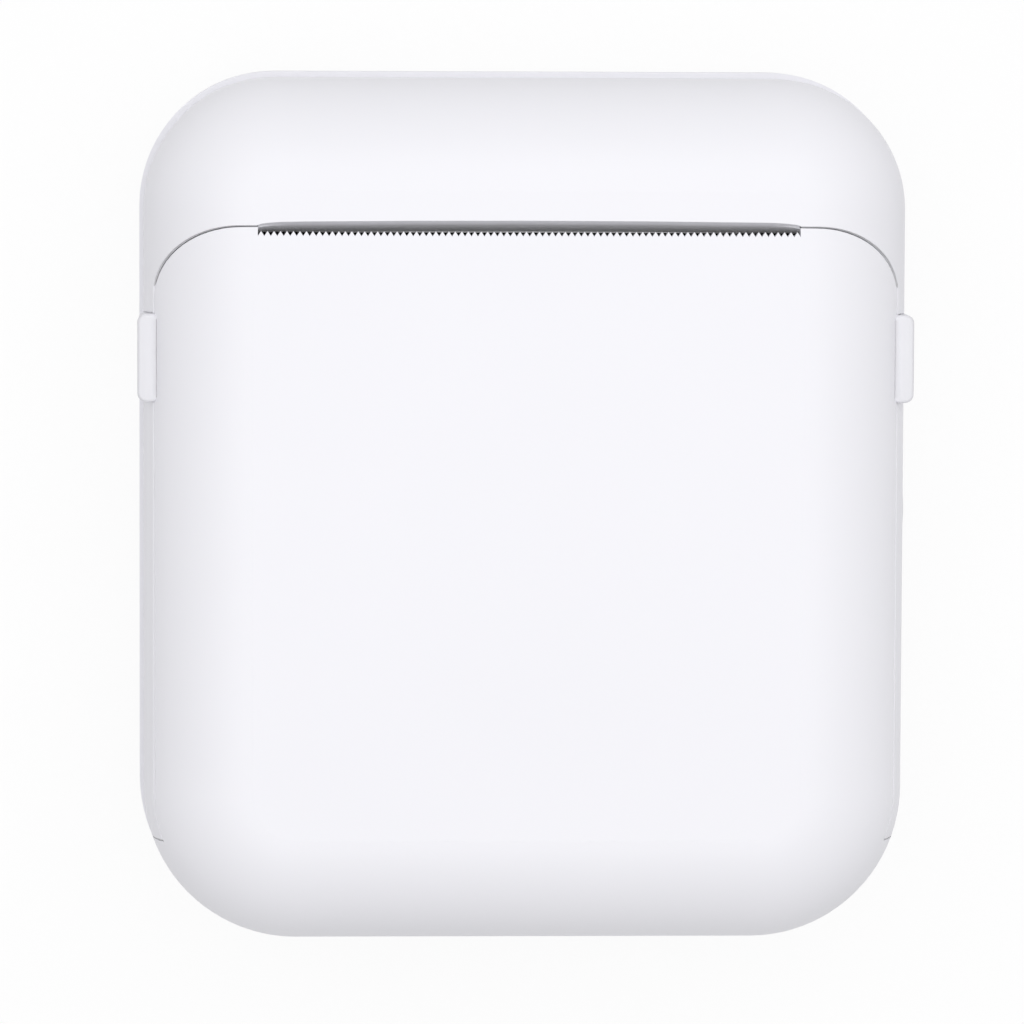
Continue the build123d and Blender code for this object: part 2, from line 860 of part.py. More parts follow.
def tooth_half_angle(teeth, radius):
    pitch_radius = gear_module * teeth / 2
    base_radius = pitch_radius * cos(radians(pressure_angle))
    thickness = pi * gear_module / 2 - tooth_thinning
    reach = acos(min(1.0, base_radius / radius)) if radius > base_radius else 0.0
    return thickness / (2 * pitch_radius) + involute(radians(pressure_angle)) - involute(reach)


def gear_face(centre, teeth, tip_height, phase):
    """A toothed wheel's outline: involute flanks on three points each, straight below the base circle."""
    pitch_radius = gear_module * teeth / 2
    base_radius = pitch_radius * cos(radians(pressure_angle))
    tip_radius = pitch_radius + tip_height
    root_radius = pitch_radius - tooth_dedendum
    flank_start = max(base_radius, root_radius + tooth_dedendum / 10)
    middle_radius = (flank_start + tip_radius) / 2

    def at(radius, angle):
        return centre[0] + radius * cos(angle), centre[1] + radius * sin(angle)

    edges = []
    pitch_angle = 2 * pi / teeth
    flank = [(radius, tooth_half_angle(teeth, radius)) for radius in (flank_start, middle_radius, tip_radius)]
    half_low = flank[0][1]
    for i in range(teeth):
        axis = phase + i * pitch_angle
        rise = [at(radius, axis - half) for radius, half in flank]
        fall = [at(radius, axis + half) for radius, half in reversed(flank)]
        next_foot = at(root_radius, axis + pitch_angle - half_low)
        edges.append(Line(at(root_radius, axis - half_low), rise[0]))
        edges.append(ThreePointArc(*rise))
        edges.append(Line(rise[-1], fall[0]))
        edges.append(ThreePointArc(*fall))
        edges.append(Line(fall[-1], at(root_radius, axis + half_low)))
        edges.append(Line(at(root_radius, axis + half_low), next_foot))
    return make_face(edges)


def direction(start, end):
    return atan2(end[1] - start[1], end[0] - start[0])


def meshed_phase(phase, teeth, centre, next_teeth, next_centre):
    """The angle of a tooth on the next wheel that meshes with this one."""
    pitch_angle = 2 * pi / teeth
    next_pitch = 2 * pi / next_teeth
    offset = (phase - direction(centre, next_centre)) / pitch_angle
    return direction(next_centre, centre) - offset * next_pitch + next_pitch / 2


platen_phase = direction(platen_point, idler_point)
idler_phase = meshed_phase(platen_phase, platen_teeth, platen_point, idler_teeth, idler_point)
small_phase = meshed_phase(idler_phase, idler_teeth, idler_point, compound_small_teeth, compound_point)
big_phase = direction(compound_point, motor_point)
pinion_phase = meshed_phase(big_phase, compound_big_teeth, compound_point, pinion_teeth, motor_point)


def wheel_bore(point, radius):
    return rod_x(point[0], point[1], radius, 0, case_width)


def make_platen_gear():
    face = gear_face(platen_point, platen_teeth, platen_tip, platen_phase)
    wheel = across(face, gear_start, gear_start + platen_gear_width)
    return wheel - wheel_bore(platen_point, shaft_radius)


def make_idler_gear():
    face = gear_face(idler_point, idler_teeth, idler_tip, idler_phase)
    wheel = across(face, gear_start, gear_start + idler_width)
    return wheel - wheel_bore(idler_point, idler_axle_radius + running_clearance)


def make_compound_gear():
    small = gear_face(compound_point, compound_small_teeth, compound_small_tip, small_phase)
    big = gear_face(compound_point, compound_big_teeth, compound_big_tip, big_phase)
    wheel = across(small, gear_start, gear_layer_two)
    web_x = gear_layer_two + compound_big_width / 2
    big_wheel = across(big, gear_layer_two, gear_layer_two + compound_big_width)
    rim = gear_module * compound_big_teeth / 2 - compound_rim_wall
    hub = compound_axle_radius + compound_hub_wall
    y, z = compound_point
    big_wheel -= rod_x(y, z, rim, web_x, case_width) - rod_x(y, z, hub, web_x, case_width)
    return wheel + big_wheel - wheel_bore(compound_point, compound_axle_radius + running_clearance)


def make_pinion_gear():
    face = gear_face(motor_point, pinion_teeth, pinion_tip, pinion_phase)
    wheel = across(face, gear_layer_two, gear_layer_two + compound_big_width)
    return wheel - wheel_bore(motor_point, motor_shaft_radius)


def compound_axle_end():
    return gear_layer_two + compound_big_width + running_clearance + clip_wall + axle_tail / 2


def make_gear_axles():
    idler = rod_x(*idler_point, idler_axle_radius, plate_start, gear_start + idler_width)
    compound = rod_x(*compound_point, compound_axle_radius, plate_start, compound_axle_end())
    return [idler, compound]


def make_axle_clip():
    y, z = compound_point
    low_x = gear_layer_two + compound_big_width + running_clearance
    return clip(y, z, compound_axle_radius, compound_axle_radius * 1.8, low_x)


# Stepper motor


def motor_ears():
    points = []
    for angle in motor_ear_directions:
        y = motor_point[0] + motor_ear_reach * cos(radians(angle))
        z = motor_point[1] + motor_ear_reach * sin(radians(angle))
        points.append((y, z))
    return points


def make_stepper_motor():
    y, z = motor_point
    flange_x = plate_start - motor_flange_wall
    can = rod_x(y, z, motor_radius, flange_x - motor_length, flange_x)
    can = fillet(can.faces().sort_by(Axis.X)[0].edges(), motor_flange_wall)
    face = Pos(y, z) * Circle(motor_radius)
    for ear in motor_ears():
        face += make_hull(
            (Pos(*ear) * Circle(motor_ear_radius) + Pos(y, z) * Circle(motor_radius * 0.6)).edges()
        )
    flange = across(face, flange_x, plate_start)
    for ear in motor_ears():
        flange -= rod_x(*ear, small_screw_radius, 0, case_width)
    boss = rod_x(y, z, motor_boss_radius, plate_start, plate_start + motor_boss_length)
    return can + flange + boss - rod_x(y, z, motor_shaft_radius + running_clearance, flange_x, case_width)


def make_motor_shaft():
    y, z = motor_point
    low_x = plate_start - motor_flange_wall
    return rod_x(y, z, motor_shaft_radius, low_x, gear_layer_two + compound_big_width)


def make_motor_screws():
    model = screw(
        small_screw_radius, motor_flange_wall + plate_wall, small_screw_head, small_screw_head_height
    )
    turned = Rot(0, 90, 0) * model
    return [Pos(plate_start - motor_flange_wall, y, z) * turned for y, z in motor_ears()]


# Thermal head


def pivot_rod(radius, low_x, high_x):
    return rod_x(pivot_y, pivot_z, radius, low_x, high_x)


def make_heat_sink():
    wide = heat_sink_half_width
    plate = block(-wide, wide, sink_front_y, sink_back_y, pivot_z + pivot_barrel_radius * 0.8, sink_top_z)
    fin_low = pivot_z + 3 * pivot_barrel_radius
    for i in range(3):
        z = fin_low + i * 2.4
        fin = head_spring_x - spring_radius - 2
        plate += block(-fin, fin, sink_back_y, sink_back_y + heat_sink_wall / 2, z, z + 0.8)
    for low, high in ((-wide, -wide + pivot_barrel_length), (wide - pivot_barrel_length, wide)):
        plate += pivot_rod(pivot_barrel_radius, low, high)
        plate += block(low, high, sink_front_y, sink_back_y, pivot_z, pivot_z + 2 * pivot_barrel_radius)
    return plate - pivot_rod(hinge_pin_radius + running_clearance, -case_width, case_width)


def make_thermal_head():
    """A ceramic strip with its raised heater line and the covered driver chips below it."""
    low = platen_height - ceramic_below_nip
    wide = bay_half_width
    strip = block(-wide, wide, head_face_y, sink_front_y, low, low + ceramic_height)
    step = ceramic_wall * 0.6
    chips = block(-wide + 3, wide - 3, head_face_y - step, head_face_y, low, low + 2 * step)
    chips = chamfer(chips.faces().sort_by(Axis.Y)[0].edges(), step / 3)
    return strip + chips


def make_head_pivot_pin():
    return pivot_rod(hinge_pin_radius, -plate_end, plate_end)


def make_head_springs():
    pitch = (spring_length - spring_wire) / spring_turns
    radius = spring_radius - spring_wire / 2
    springs = []
    for x in (-head_spring_x, head_spring_x):
        path = Helix(pitch, pitch * spring_turns, radius)
        start = Plane(origin=path @ 0, z_dir=path % 0)
        coil = sweep(start * Circle(spring_wire / 2), path=path, is_frenet=True)
        coil = Rot(-90, 0, 0) * coil
        springs.append(Pos(x, sink_back_y + spring_wire / 2, spring_z) * coil)
    return springs


def make_spring_bracket():
    low = spring_z - bracket_height * 0.6
    high = spring_z + bracket_height * 0.3
    wide = plate_start
    plate = block(-wide, wide, bracket_y, bracket_y + bracket_wall, low, high)
    plate += block(-wide, wide, bracket_y, bracket_y + 3 * bracket_wall, low, low + bracket_wall)
    for x in (-head_spring_x, head_spring_x):
        plate += rod_y(x, spring_z, bracket_seat_radius, bracket_y - bracket_seat_length, bracket_y)
    slot = block(-wide * 0.7, wide * 0.7, 0, case_length, low + 3 * bracket_wall, low + 5 * bracket_wall)
    return plate - slot


# Print chassis


def sector(inner, outer, start, end):
    """A ring sector about the platen axis, in Y and Z."""
    mid = (start + end) / 2

    def at(radius, angle):
        return platen_y + radius * cos(radians(angle)), platen_height + radius * sin(radians(angle))

    edges = [
        ThreePointArc(at(outer, start), at(outer, mid), at(outer, end)),
        Line(at(outer, end), at(inner, end)),
        ThreePointArc(at(inner, end), at(inner, mid), at(inner, start)),
        Line(at(inner, start), at(outer, start)),
    ]
    return make_face(edges)


def side_plate_face():
    """A chassis side plate, with its corners cut back and a long lead-in at the tray's edge."""
    front = tray_front_y + plate_tray_gap
    points = [
        (front, plate_bottom + plate_corner),
        (front + plate_corner, plate_bottom),
        (plate_rear - plate_corner, plate_bottom),
        (plate_rear, plate_bottom + plate_corner),
        (plate_rear, plate_top - plate_corner),
        (plate_rear - plate_corner, plate_top),
        (front + plate_lead_width, plate_top),
        (front, plate_top - plate_lead_height),
    ]
    return polygon(points)


def bushing_path(clearance):
    """The way that a bushing takes out of the chassis, an arc about the hinge axis."""
    reach = hypot(platen_y - hinge_y, platen_height - hinge_z)
    half = bushing_radius + clearance
    path = hinge_ring(reach + half, reach - half, -case_width, case_width)
    path = path & block(-case_width, case_width, 0, case_length, platen_height, case_height)
    return path + rod_x(platen_y, platen_height, half, -case_width, case_width)


def make_print_chassis():
    chassis = across(side_plate_face(), plate_start, plate_end)
    plates = both_sides(chassis)
    chassis = plates[0] + plates[1]
    inner = platen_radius + guide_gap
    guide = sector(inner, inner + guide_wall, guide_start, guide_end)
    chassis += across(guide, -plate_start, plate_start)
    beam_y = pivot_y - pivot_barrel_radius - 0.5
    chassis += block(-plate_start, plate_start, beam_y - beam_depth, beam_y, beam_low, beam_high)
    web = polygon(
        [
            (beam_y - beam_depth, beam_low),
            (beam_y, beam_high),
            (beam_y - 1, beam_high + 1),
            (platen_y, platen_height - inner - guide_wall / 2),
            (platen_y - 3, platen_height - inner - guide_wall / 4),
        ]
    )
    for i in range(-1, 2):
        x = i * plate_start * 0.6
        chassis += across(web, x - guide_wall / 2, x + guide_wall / 2)
    for side in (-1, 1):
        chassis += rod_z(side * chassis_post_x, chassis_post_y, boss_radius, post_height, beam_low)
    chassis -= bushing_path(notch_clearance)
    chassis -= rod_x(*idler_point, idler_axle_radius, 0, case_width)
    chassis -= rod_x(*compound_point, compound_axle_radius, 0, case_width)
    chassis -= rod_x(*motor_point, motor_boss_radius, 0, case_width)
    for ear in motor_ears():
        chassis -= rod_x(*ear, small_screw_radius, 0, case_width)
    chassis -= pivot_rod(hinge_pin_radius, -case_width, case_width)
    for side in (-1, 1):
        x = side * chassis_post_x
        chassis -= rod_z(x, chassis_post_y, screw_radius, 0, screw_top())
    window = block(
        sensor_x() - sensor_eye, sensor_x() + sensor_eye, platen_y - sensor_eye, platen_y + sensor_eye,
        beam_high, platen_height,
    )
    return chassis - window


def screw_top():
    return foot_stand + counterbore_depth + screw_length


def sensor_x():
    return plate_start * 0.3


def make_paper_sensor():
    top = platen_height - platen_radius - guide_gap - guide_wall
    centre = Pos(sensor_x(), platen_y, top)
    body = Pos(0, 0, -sensor_height / 2) * Box(sensor_length, sensor_depth, sensor_height)
    eyes = Box(sensor_length - 2 * sensor_eye, sensor_eye, sensor_eye)
    return centre * (body - eyes)


# Paper tray


def trough_face(radius, shelf_y, top_z):
    """The trough round the roll and the ramp that leads the paper to the platen."""
    slope = radians(ramp_angle)
    back = (roll_y - radius, roll_z)
    mid_angle = radians(ramp_angle / 2 - 135 / 2 - 22.5)
    mid = (roll_y + radius * cos(mid_angle - pi / 4), roll_z + radius * sin(mid_angle - pi / 4))
    ramp_start = (roll_y + radius * sin(slope), roll_z - radius * cos(slope))
    ramp_end = (shelf_y, ramp_start[1] + (shelf_y - ramp_start[0]) * tan(slope))
    edges = [
        Line((back[0], top_z), back),
        ThreePointArc(back, mid, ramp_start),
        Line(ramp_start, ramp_end),
        Line(ramp_end, (shelf_y, top_z)),
        Line((shelf_y, top_z), (back[0], top_z)),
    ]
    return make_face(edges)


def side_pads():
    """Where the side board rests on the tray: two screwed pads and a plain one."""
    inset = 2 * pad_radius
    low_y, high_y = side_board_low_y + inset, side_board_high_y - inset
    low_z, high_z = side_board_low_z + inset, side_board_high_z - inset
    return [(low_y, low_z), (high_y, high_z), (low_y, high_z)]


def board_screw_pads():
    return side_pads()[:2]


def make_paper_tray():
    outer_face = trough_face(trough_radius + tray_wall, tray_front_y, deck_height)
    bay = across(outer_face, -tray_half_width, tray_half_width)
    inner_face = trough_face(trough_radius, tray_front_y + 1, case_height)
    space = across(inner_face, -bay_half_width, bay_half_width)
    inset = shell_wall + deck_side_gap
    side_inset = rim_step + inset
    outline = slab(side_inset, side_inset + deck_end_gap, deck_height - deck_wall, deck_height)
    deck = outline & front_form(inset, split_height)
    deck = deck & block(-case_width, case_width, -case_length, tray_front_y, 0, case_height)
    tray = bay + deck
    apron_y = -(front_half_length - inset - deck_end_gap)
    apron_low = deck_height - apron_drop
    tray += block(-apron_half_width, apron_half_width, apron_y, apron_y + deck_wall, apron_low, deck_height)
    boss_top = deck_height - deck_wall / 2
    for side in (-1, 1):
        tray += rod_z(side * chassis_post_x, tray_post_y, boss_radius, post_height, boss_top)
    for i in range(3):
        y = roll_y + (i - 1) * trough_radius * 0.8
        gusset = extrude(
            Plane.XZ.offset(-y)
            * polygon(
                [
                    (-tray_half_width, deck_height - deck_wall),
                    (-tray_half_width - 6, deck_height - deck_wall),
                    (-tray_half_width, apron_low),
                ]
            ),
            amount=tray_wall,
        )
        tray += gusset
    for y, z in side_pads():
        tray += rod_x(y, z, pad_radius, tray_half_width - tray_wall / 2, board_face_x)
    tray -= space
    for y, z in board_screw_pads():
        tray -= rod_x(y, z, small_screw_radius, bay_half_width + 0.2, board_face_x + 1)
    for side in (-1, 1):
        for y in deck_screw_ys:
            tray -= rod_z(side * deck_screw_x, y, deck_screw_radius, 0, case_height)
        tray -= rod_z(side * chassis_post_x, tray_post_y, screw_radius, 0, screw_top())
    return tray


def make_tray_screws():
    model = screw(deck_screw_radius, deck_screw_length, deck_screw_head_radius, deck_screw_head_height)
    turned = Rot(180, 0, 0) * model
    points = [(side * deck_screw_x, y) for side in (-1, 1) for y in deck_screw_ys]
    return [Pos(x, y, deck_height) * turned for x, y in points]


# Battery and boards


def make_battery():
    top = floor_z + battery_height
    cell = block(-battery_half_width, battery_half_width, battery_low_y, battery_high_y, floor_z, top)
    return fillet(cell.edges().filter_by(Axis.X), battery_edge)


def main_standoffs():
    inset = standoff_inset
    xs = (main_board_low_x + inset + standoff_offset, main_board_high_x - inset)
    ys = (main_board_low_y + inset, main_board_high_y - inset)
    return [(x, y) for x in xs for y in ys]


def main_board_top():
    return floor_z + standoff_height + board_wall


def make_main_board():
    low = floor_z + standoff_height
    top = main_board_top()
    board = block(main_board_low_x, main_board_high_x, main_board_low_y, main_board_high_y, low, top)
    for x, y in main_standoffs():
        board -= rod_z(x, y, small_screw_radius, 0, case_height)
    mid_y = (main_board_low_y + main_board_high_y) / 2
    for offset, back, length, depth, rise in board_parts:
        x = main_board_low_x + offset
        y = mid_y - back
        board += block(x - length / 2, x + length / 2, y - depth / 2, y + depth / 2, top, top + rise)
    half = ribbon_half_width() + ribbon_plug_end
    plug_y = ribbon_end_y() - ribbon_plug_size
    board += block(-half, half, plug_y, ribbon_end_y(), top, top + ribbon_plug_size)
    return board


def make_board_screws():
    down = Rot(180, 0, 0) * screw(
        small_screw_radius, board_wall + standoff_height, small_screw_head, small_screw_head_height
    )
    points = main_standoffs()
    screws = [Pos(x, y, main_board_top()) * down for x, y in (points[0], points[3])]
    inward = Rot(0, -90, 0) * screw(
        small_screw_radius, board_wall + pad_height, small_screw_head, small_screw_head_height
    )
    return screws + [Pos(board_front_x, y, z) * inward for y, z in board_screw_pads()]


def make_side_board():
    board = block(
        board_face_x, board_front_x, side_board_low_y, side_board_high_y, side_board_low_z, side_board_high_z
    )
    for y, z in board_screw_pads():
        board -= rod_x(y, z, small_screw_radius, 0, case_width)
    lamp = block(
        board_front_x, board_front_x + lamp_height, lamp_y - lamp_height, lamp_y + lamp_height,
        side_line_z - lamp_height / 2, side_line_z + lamp_height / 2,
    )
    chip_z = side_board_low_z + board_edge
    chip = block(
        board_front_x, board_front_x + chip_height, usb_y - chip_size / 2, usb_y + chip_size / 2,
        chip_z, chip_z + chip_size,
    )
    half = link_plug_length / 2
    plug = block(
        board_front_x, board_front_x + link_plug_height, link_y - half, link_y + half,
        chip_z, chip_z + link_plug_height,
    )
    return board + lamp + chip + plug


def usb_outline(grow):
    height = usb_height + 2 * grow
    return Pos(usb_y, side_line_z) * RectangleRounded(usb_length + 2 * grow, height, height / 2 - 0.05)


def usb_opening(grow):
    slot = across(usb_outline(grow), lug_inner_x, case_width)
    return slot


def make_usb_port():
    body = across(usb_outline(0), board_front_x, usb_reach)
    hollow = across(usb_outline(-usb_wall), usb_reach - usb_hollow_depth, usb_reach + 1)
    tongue_half = usb_tongue_length / 2
    tongue = block(
        usb_reach - usb_hollow_depth - 0.5,
        usb_reach - 0.8,
        usb_y - tongue_half,
        usb_y + tongue_half,
        side_line_z - usb_tongue_wall / 2,
        side_line_z + usb_tongue_wall / 2,
    )
    return body - hollow + tongue


def make_power_switch():
    half = switch_size / 2
    body = block(
        board_front_x, board_front_x + switch_height, button_y - half, button_y + half,
        side_line_z - half, side_line_z + half,
    )
    tip = board_front_x + switch_height + plunger_height
    return body + rod_x(button_y, side_line_z, plunger_radius, board_front_x, tip)


def make_power_button():
    face_x = front_half_width + button_stand
    back_x = front_half_width - shell_wall - 0.1
    cap = rod_x(button_y, side_line_z, button_radius, back_x - button_flange_wall, face_x)
    cap = fillet(cap.faces().sort_by(Axis.X)[-1].edges(), button_stand)
    flange = rod_x(
        button_y, side_line_z, button_radius + button_flange, back_x - button_flange_wall, back_x
    )
    stem_x = board_front_x + switch_height + plunger_height + button_travel + running_clearance
    stem = rod_x(button_y, side_line_z, plunger_radius, stem_x, back_x)
    return cap + flange + stem


def make_light_pipe():
    inner_x = front_half_width - shell_wall
    pipe = rod_x(lamp_y, side_line_z, light_pipe_radius, board_front_x + 1.1, front_half_width)
    collar = rod_x(lamp_y, side_line_z, light_pipe_radius * 1.8, inner_x - 0.8, inner_x)
    return pipe + collar


# Flat cables


def ribbon_half_width():
    """As wide as the corner screw of the main board lets its connector be."""
    screw_x = main_board_high_x - standoff_inset - small_screw_head
    return screw_x - ribbon_screw_gap - ribbon_plug_end


def ribbon_end_y():
    return main_board_high_y - ribbon_inset


def make_head_ribbon():
    low_z = main_board_top() + ribbon_plug_size / 2
    points = [
        (sink_back_y + ribbon_swing_gap, pivot_z + ribbon_rise),
        (sink_back_y + ribbon_slack, pivot_z),
        (sink_back_y + ribbon_slack * 2 / 3, low_z + ribbon_drop),
        (sink_back_y - ribbon_slack * 4 / 5, low_z),
        (ribbon_end_y(), low_z),
    ]
    band = trace(Polyline(*points), ribbon_wall)
    return across(band, -ribbon_half_width(), ribbon_half_width())


def make_battery_lead():
    z = floor_z + battery_height / 2
    points = [(battery_high_y, z), (battery_high_y + battery_board_gap, z)]
    band = trace(Polyline(*points), lead_size)
    x = -battery_half_width * 0.6
    return across(band, x - lead_size, x + lead_size)


def make_board_link():
    x = board_front_x + link_plug_height / 2
    z = main_board_top() + link_rise
    points = [
        (x, side_board_low_z + board_edge),
        (x, z + link_bend),
        (x - link_bend, z),
        (main_board_high_x - board_edge, z),
    ]
    band = trace(Polyline(*points), ribbon_wall)
    half = link_width / 2
    return extrude(Plane.XZ.offset(half - link_y) * band, amount=-link_width)


def solids_of(piece):
    pieces = piece if isinstance(piece, (list, tuple)) else [piece]
    found = []
    for item in pieces:
        found.extend(item.solids())
    return found


def write(name, piece):
    found = solids_of(piece)
    shape = found[0] if len(found) == 1 else Compound(children=found)
    export_step(shape, "parts/" + name + ".step")


left_tab, right_tab = make_pull_tabs()[::-1]
right_bushing, left_bushing = make_bushings()
nodes = {
    "rear_shell": make_rear_shell(),
    "rubber_feet": make_rubber_feet(),
    "case_screws": make_case_screws(),
    "hinge_pin": make_hinge_pin(),
    "front_frame": make_front_frame(),
    "cover_shell": make_cover_shell(),
    "left_pull_tab": left_tab,
    "right_pull_tab": right_tab,
    "cover_inner_frame": make_cover_inner_frame(),
    "cover_screws": make_cover_screws(),
    "platen_shaft": make_platen_shaft(),
    "platen_rubber": make_platen_rubber(),
    "left_bushing": left_bushing,
    "right_bushing": right_bushing,
    "platen_clips": make_platen_clips(),
    "platen_gear": make_platen_gear(),
    "idler_gear": make_idler_gear(),
    "compound_gear": make_compound_gear(),
    "pinion_gear": make_pinion_gear(),
    "gear_axles": make_gear_axles(),
    "axle_clip": make_axle_clip(),
    "stepper_motor": make_stepper_motor(),
    "motor_shaft": make_motor_shaft(),
    "motor_screws": make_motor_screws(),
    "heat_sink": make_heat_sink(),
    "thermal_head": make_thermal_head(),
    "head_pivot_pin": make_head_pivot_pin(),
    "head_springs": make_head_springs(),
    "spring_bracket": make_spring_bracket(),
    "print_chassis": make_print_chassis(),
    "paper_sensor": make_paper_sensor(),
    "paper_tray": make_paper_tray(),
    "tray_screws": make_tray_screws(),
    "battery": make_battery(),
    "main_board": make_main_board(),
    "side_board": make_side_board(),
    "board_screws": make_board_screws(),
    "usb_port": make_usb_port(),
    "power_switch": make_power_switch(),
    "power_button": make_power_button(),
    "light_pipe": make_light_pipe(),
    "head_ribbon": make_head_ribbon(),
    "battery_lead": make_battery_lead(),
    "board_link_cable": make_board_link(),
}
os.makedirs("parts", exist_ok=True)
for name, piece in nodes.items():
    write(name, piece)
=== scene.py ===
from math import cos, pi, radians, sin
import bmesh
import bpy
from mathutils import Matrix, Vector


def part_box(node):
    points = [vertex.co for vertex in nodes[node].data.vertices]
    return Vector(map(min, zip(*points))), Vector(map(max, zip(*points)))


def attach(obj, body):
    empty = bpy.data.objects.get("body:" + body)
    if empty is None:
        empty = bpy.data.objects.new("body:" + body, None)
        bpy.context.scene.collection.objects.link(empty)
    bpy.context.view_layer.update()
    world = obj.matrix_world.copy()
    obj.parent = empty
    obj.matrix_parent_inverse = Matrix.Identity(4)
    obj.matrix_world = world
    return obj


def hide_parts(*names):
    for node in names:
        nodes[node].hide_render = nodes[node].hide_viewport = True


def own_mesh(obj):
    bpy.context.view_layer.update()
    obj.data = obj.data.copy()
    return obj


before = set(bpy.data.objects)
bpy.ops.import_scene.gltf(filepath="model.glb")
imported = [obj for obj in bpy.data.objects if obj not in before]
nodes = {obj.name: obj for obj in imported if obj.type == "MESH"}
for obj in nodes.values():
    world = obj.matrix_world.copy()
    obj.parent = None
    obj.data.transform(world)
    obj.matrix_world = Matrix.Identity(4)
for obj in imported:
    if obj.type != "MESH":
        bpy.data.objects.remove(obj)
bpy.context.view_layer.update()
mm = 0.001
white = (1, 1, 1, 1)
print("frame loaded with", len(nodes), "nodes")

# Camera: above the printer, a little to its left and towards the end with the slot
cameraSetup = {
    "distance": 700 * mm,
    "lens": 220.7,  # this and the sensor are in millimetres, as Blender counts them
    "sensorWidth": 36,
    "clipStart": 10 * mm,
    "yaw": 2.41,
    "pitch": 4.48,
    "roll": 0.22,
    "target": (-0.88 * mm, -1.10 * mm, 20 * mm),
}


def placeCamera(setup):
    yaw, pitch, roll = (radians(setup[angle]) for angle in ("yaw", "pitch", "roll"))
    back = Vector((-sin(yaw) * cos(pitch), sin(pitch), cos(yaw) * cos(pitch)))
    right = Vector((cos(yaw), 0, sin(yaw)))
    up = back.cross(right)
    turn = Matrix.Rotation(roll, 3, back)
    axes = Matrix((turn @ right, turn @ up, back)).transposed()
    place = Vector(setup["target"]) + back * setup["distance"]
    data = bpy.data.cameras.new("camera")
    data.lens = setup["lens"]
    data.sensor_width = setup["sensorWidth"]
    data.clip_start = setup["clipStart"]
    camera = bpy.data.objects.new("camera", data)
    camera.matrix_world = Matrix.Translation(place) @ axes.to_4x4()
    bpy.context.scene.collection.objects.link(camera)
    bpy.context.scene.camera = camera


placeCamera(cameraSetup)

# Studio: a wide soft box above, a weaker one to the right of the slot end, and an even white room
lightSetup = {
    "keySize": 0.9,
    "keyPlace": (-0.02, 0.14, 0.88),
    "keyPower": 5.3,
    "fillSize": 0.7,
    "fillPlace": (0.5, 0.35, 0.6),
    "fillPower": 0.4,
    "aim": (0, 0, 0.02),
    "room": 0.45,
    "backdrop": 1.0,
    "floorSize": 6,
    "floorDrop": 0.1 * mm,
    "floorTone": (0.93, 0.93, 0.935, 1),
    "floorShadow": 0.10,  # how much of the real shading shows on the floor
}


def softBox(kind, setup):
    place = Vector(setup[kind + "Place"])
    data = bpy.data.lights.new(kind + "Box", "AREA")
    data.shape = "SQUARE"
    data.size = setup[kind + "Size"]
    data.energy = setup[kind + "Power"]
    lamp = bpy.data.objects.new(kind + "Box", data)
    lamp.location = place
    lamp.rotation_euler = (place - Vector(setup["aim"])).to_track_quat("Z", "Y").to_euler()
    bpy.context.scene.collection.objects.link(lamp)


softBox("key", lightSetup)
softBox("fill", lightSetup)
print("camera and lights placed")

# Node helpers, and the places of the two colours and the result on a node that mixes colours
firstColor, secondColor, mixedColor = 6, 7, 2


def makeNode(tree, kind, values=None, **settings):
    node = tree.nodes.new(kind)
    for name, value in settings.items():
        setattr(node, name, value)
    for socket, value in (values or {}).items():
        node.inputs[socket].default_value = value
    return node


def join(tree, source, target):
    tree.links.new(source, target)


def combine(tree, operation, first, second):  # the sum, product or the like of two outputs
    node = makeNode(tree, "ShaderNodeMath", operation=operation)
    join(tree, first, node.inputs[0])
    join(tree, second, node.inputs[1])
    return node.outputs[0]


def withConstant(tree, operation, source, value):  # the same of an output and a constant
    node = makeNode(tree, "ShaderNodeMath", {1: value}, operation=operation)
    join(tree, source, node.inputs[0])
    return node.outputs[0]


def seenRays(tree):  # 1 where a ray shows the backdrop: to the camera, in a gloss or through glass
    path = makeNode(tree, "ShaderNodeLightPath")
    seen = combine(tree, "MAXIMUM", path.outputs["Is Camera Ray"], path.outputs["Is Glossy Ray"])
    return combine(tree, "MAXIMUM", seen, path.outputs["Is Transmission Ray"])


def whiteRoom(setup):
    world = bpy.data.worlds.new("whiteRoom")
    world.use_nodes = True
    tree = world.node_tree
    background = tree.nodes["Background"]
    background.inputs["Color"].default_value = white
    strengths = {"A": setup["room"], "B": setup["backdrop"]}
    level = makeNode(tree, "ShaderNodeMix", strengths, data_type="FLOAT")
    join(tree, seenRays(tree), level.inputs["Factor"])
    join(tree, level.outputs["Result"], background.inputs["Strength"])
    bpy.context.scene.world = world


def paleFloor(setup):
    bpy.ops.object.select_all(action="DESELECT")
    bpy.ops.mesh.primitive_plane_add(size=setup["floorSize"], location=(0, 0, -setup["floorDrop"]))
    floor = bpy.context.object
    floor.name = "floor"
    floor.data.name = "floor"
    material = bpy.data.materials.new("floorPaper")
    material.use_nodes = True
    tree = material.node_tree
    tree.nodes.remove(tree.nodes["Principled BSDF"])
    paper = makeNode(tree, "ShaderNodeBsdfDiffuse", {"Color": setup["floorTone"]})
    glow = makeNode(tree, "ShaderNodeEmission", {"Color": white, "Strength": setup["backdrop"]})
    mix = makeNode(tree, "ShaderNodeMixShader")
    share = withConstant(tree, "MULTIPLY", seenRays(tree), 1 - setup["floorShadow"])
    join(tree, share, mix.inputs[0])
    join(tree, paper.outputs[0], mix.inputs[1])
    join(tree, glow.outputs[0], mix.inputs[2])
    join(tree, mix.outputs[0], tree.nodes["Material Output"].inputs["Surface"])
    floor.data.materials.append(material)


whiteRoom(lightSetup)
paleFloor(lightSetup)
bpy.context.scene.view_settings.view_transform = "Standard"
print("room and floor made")

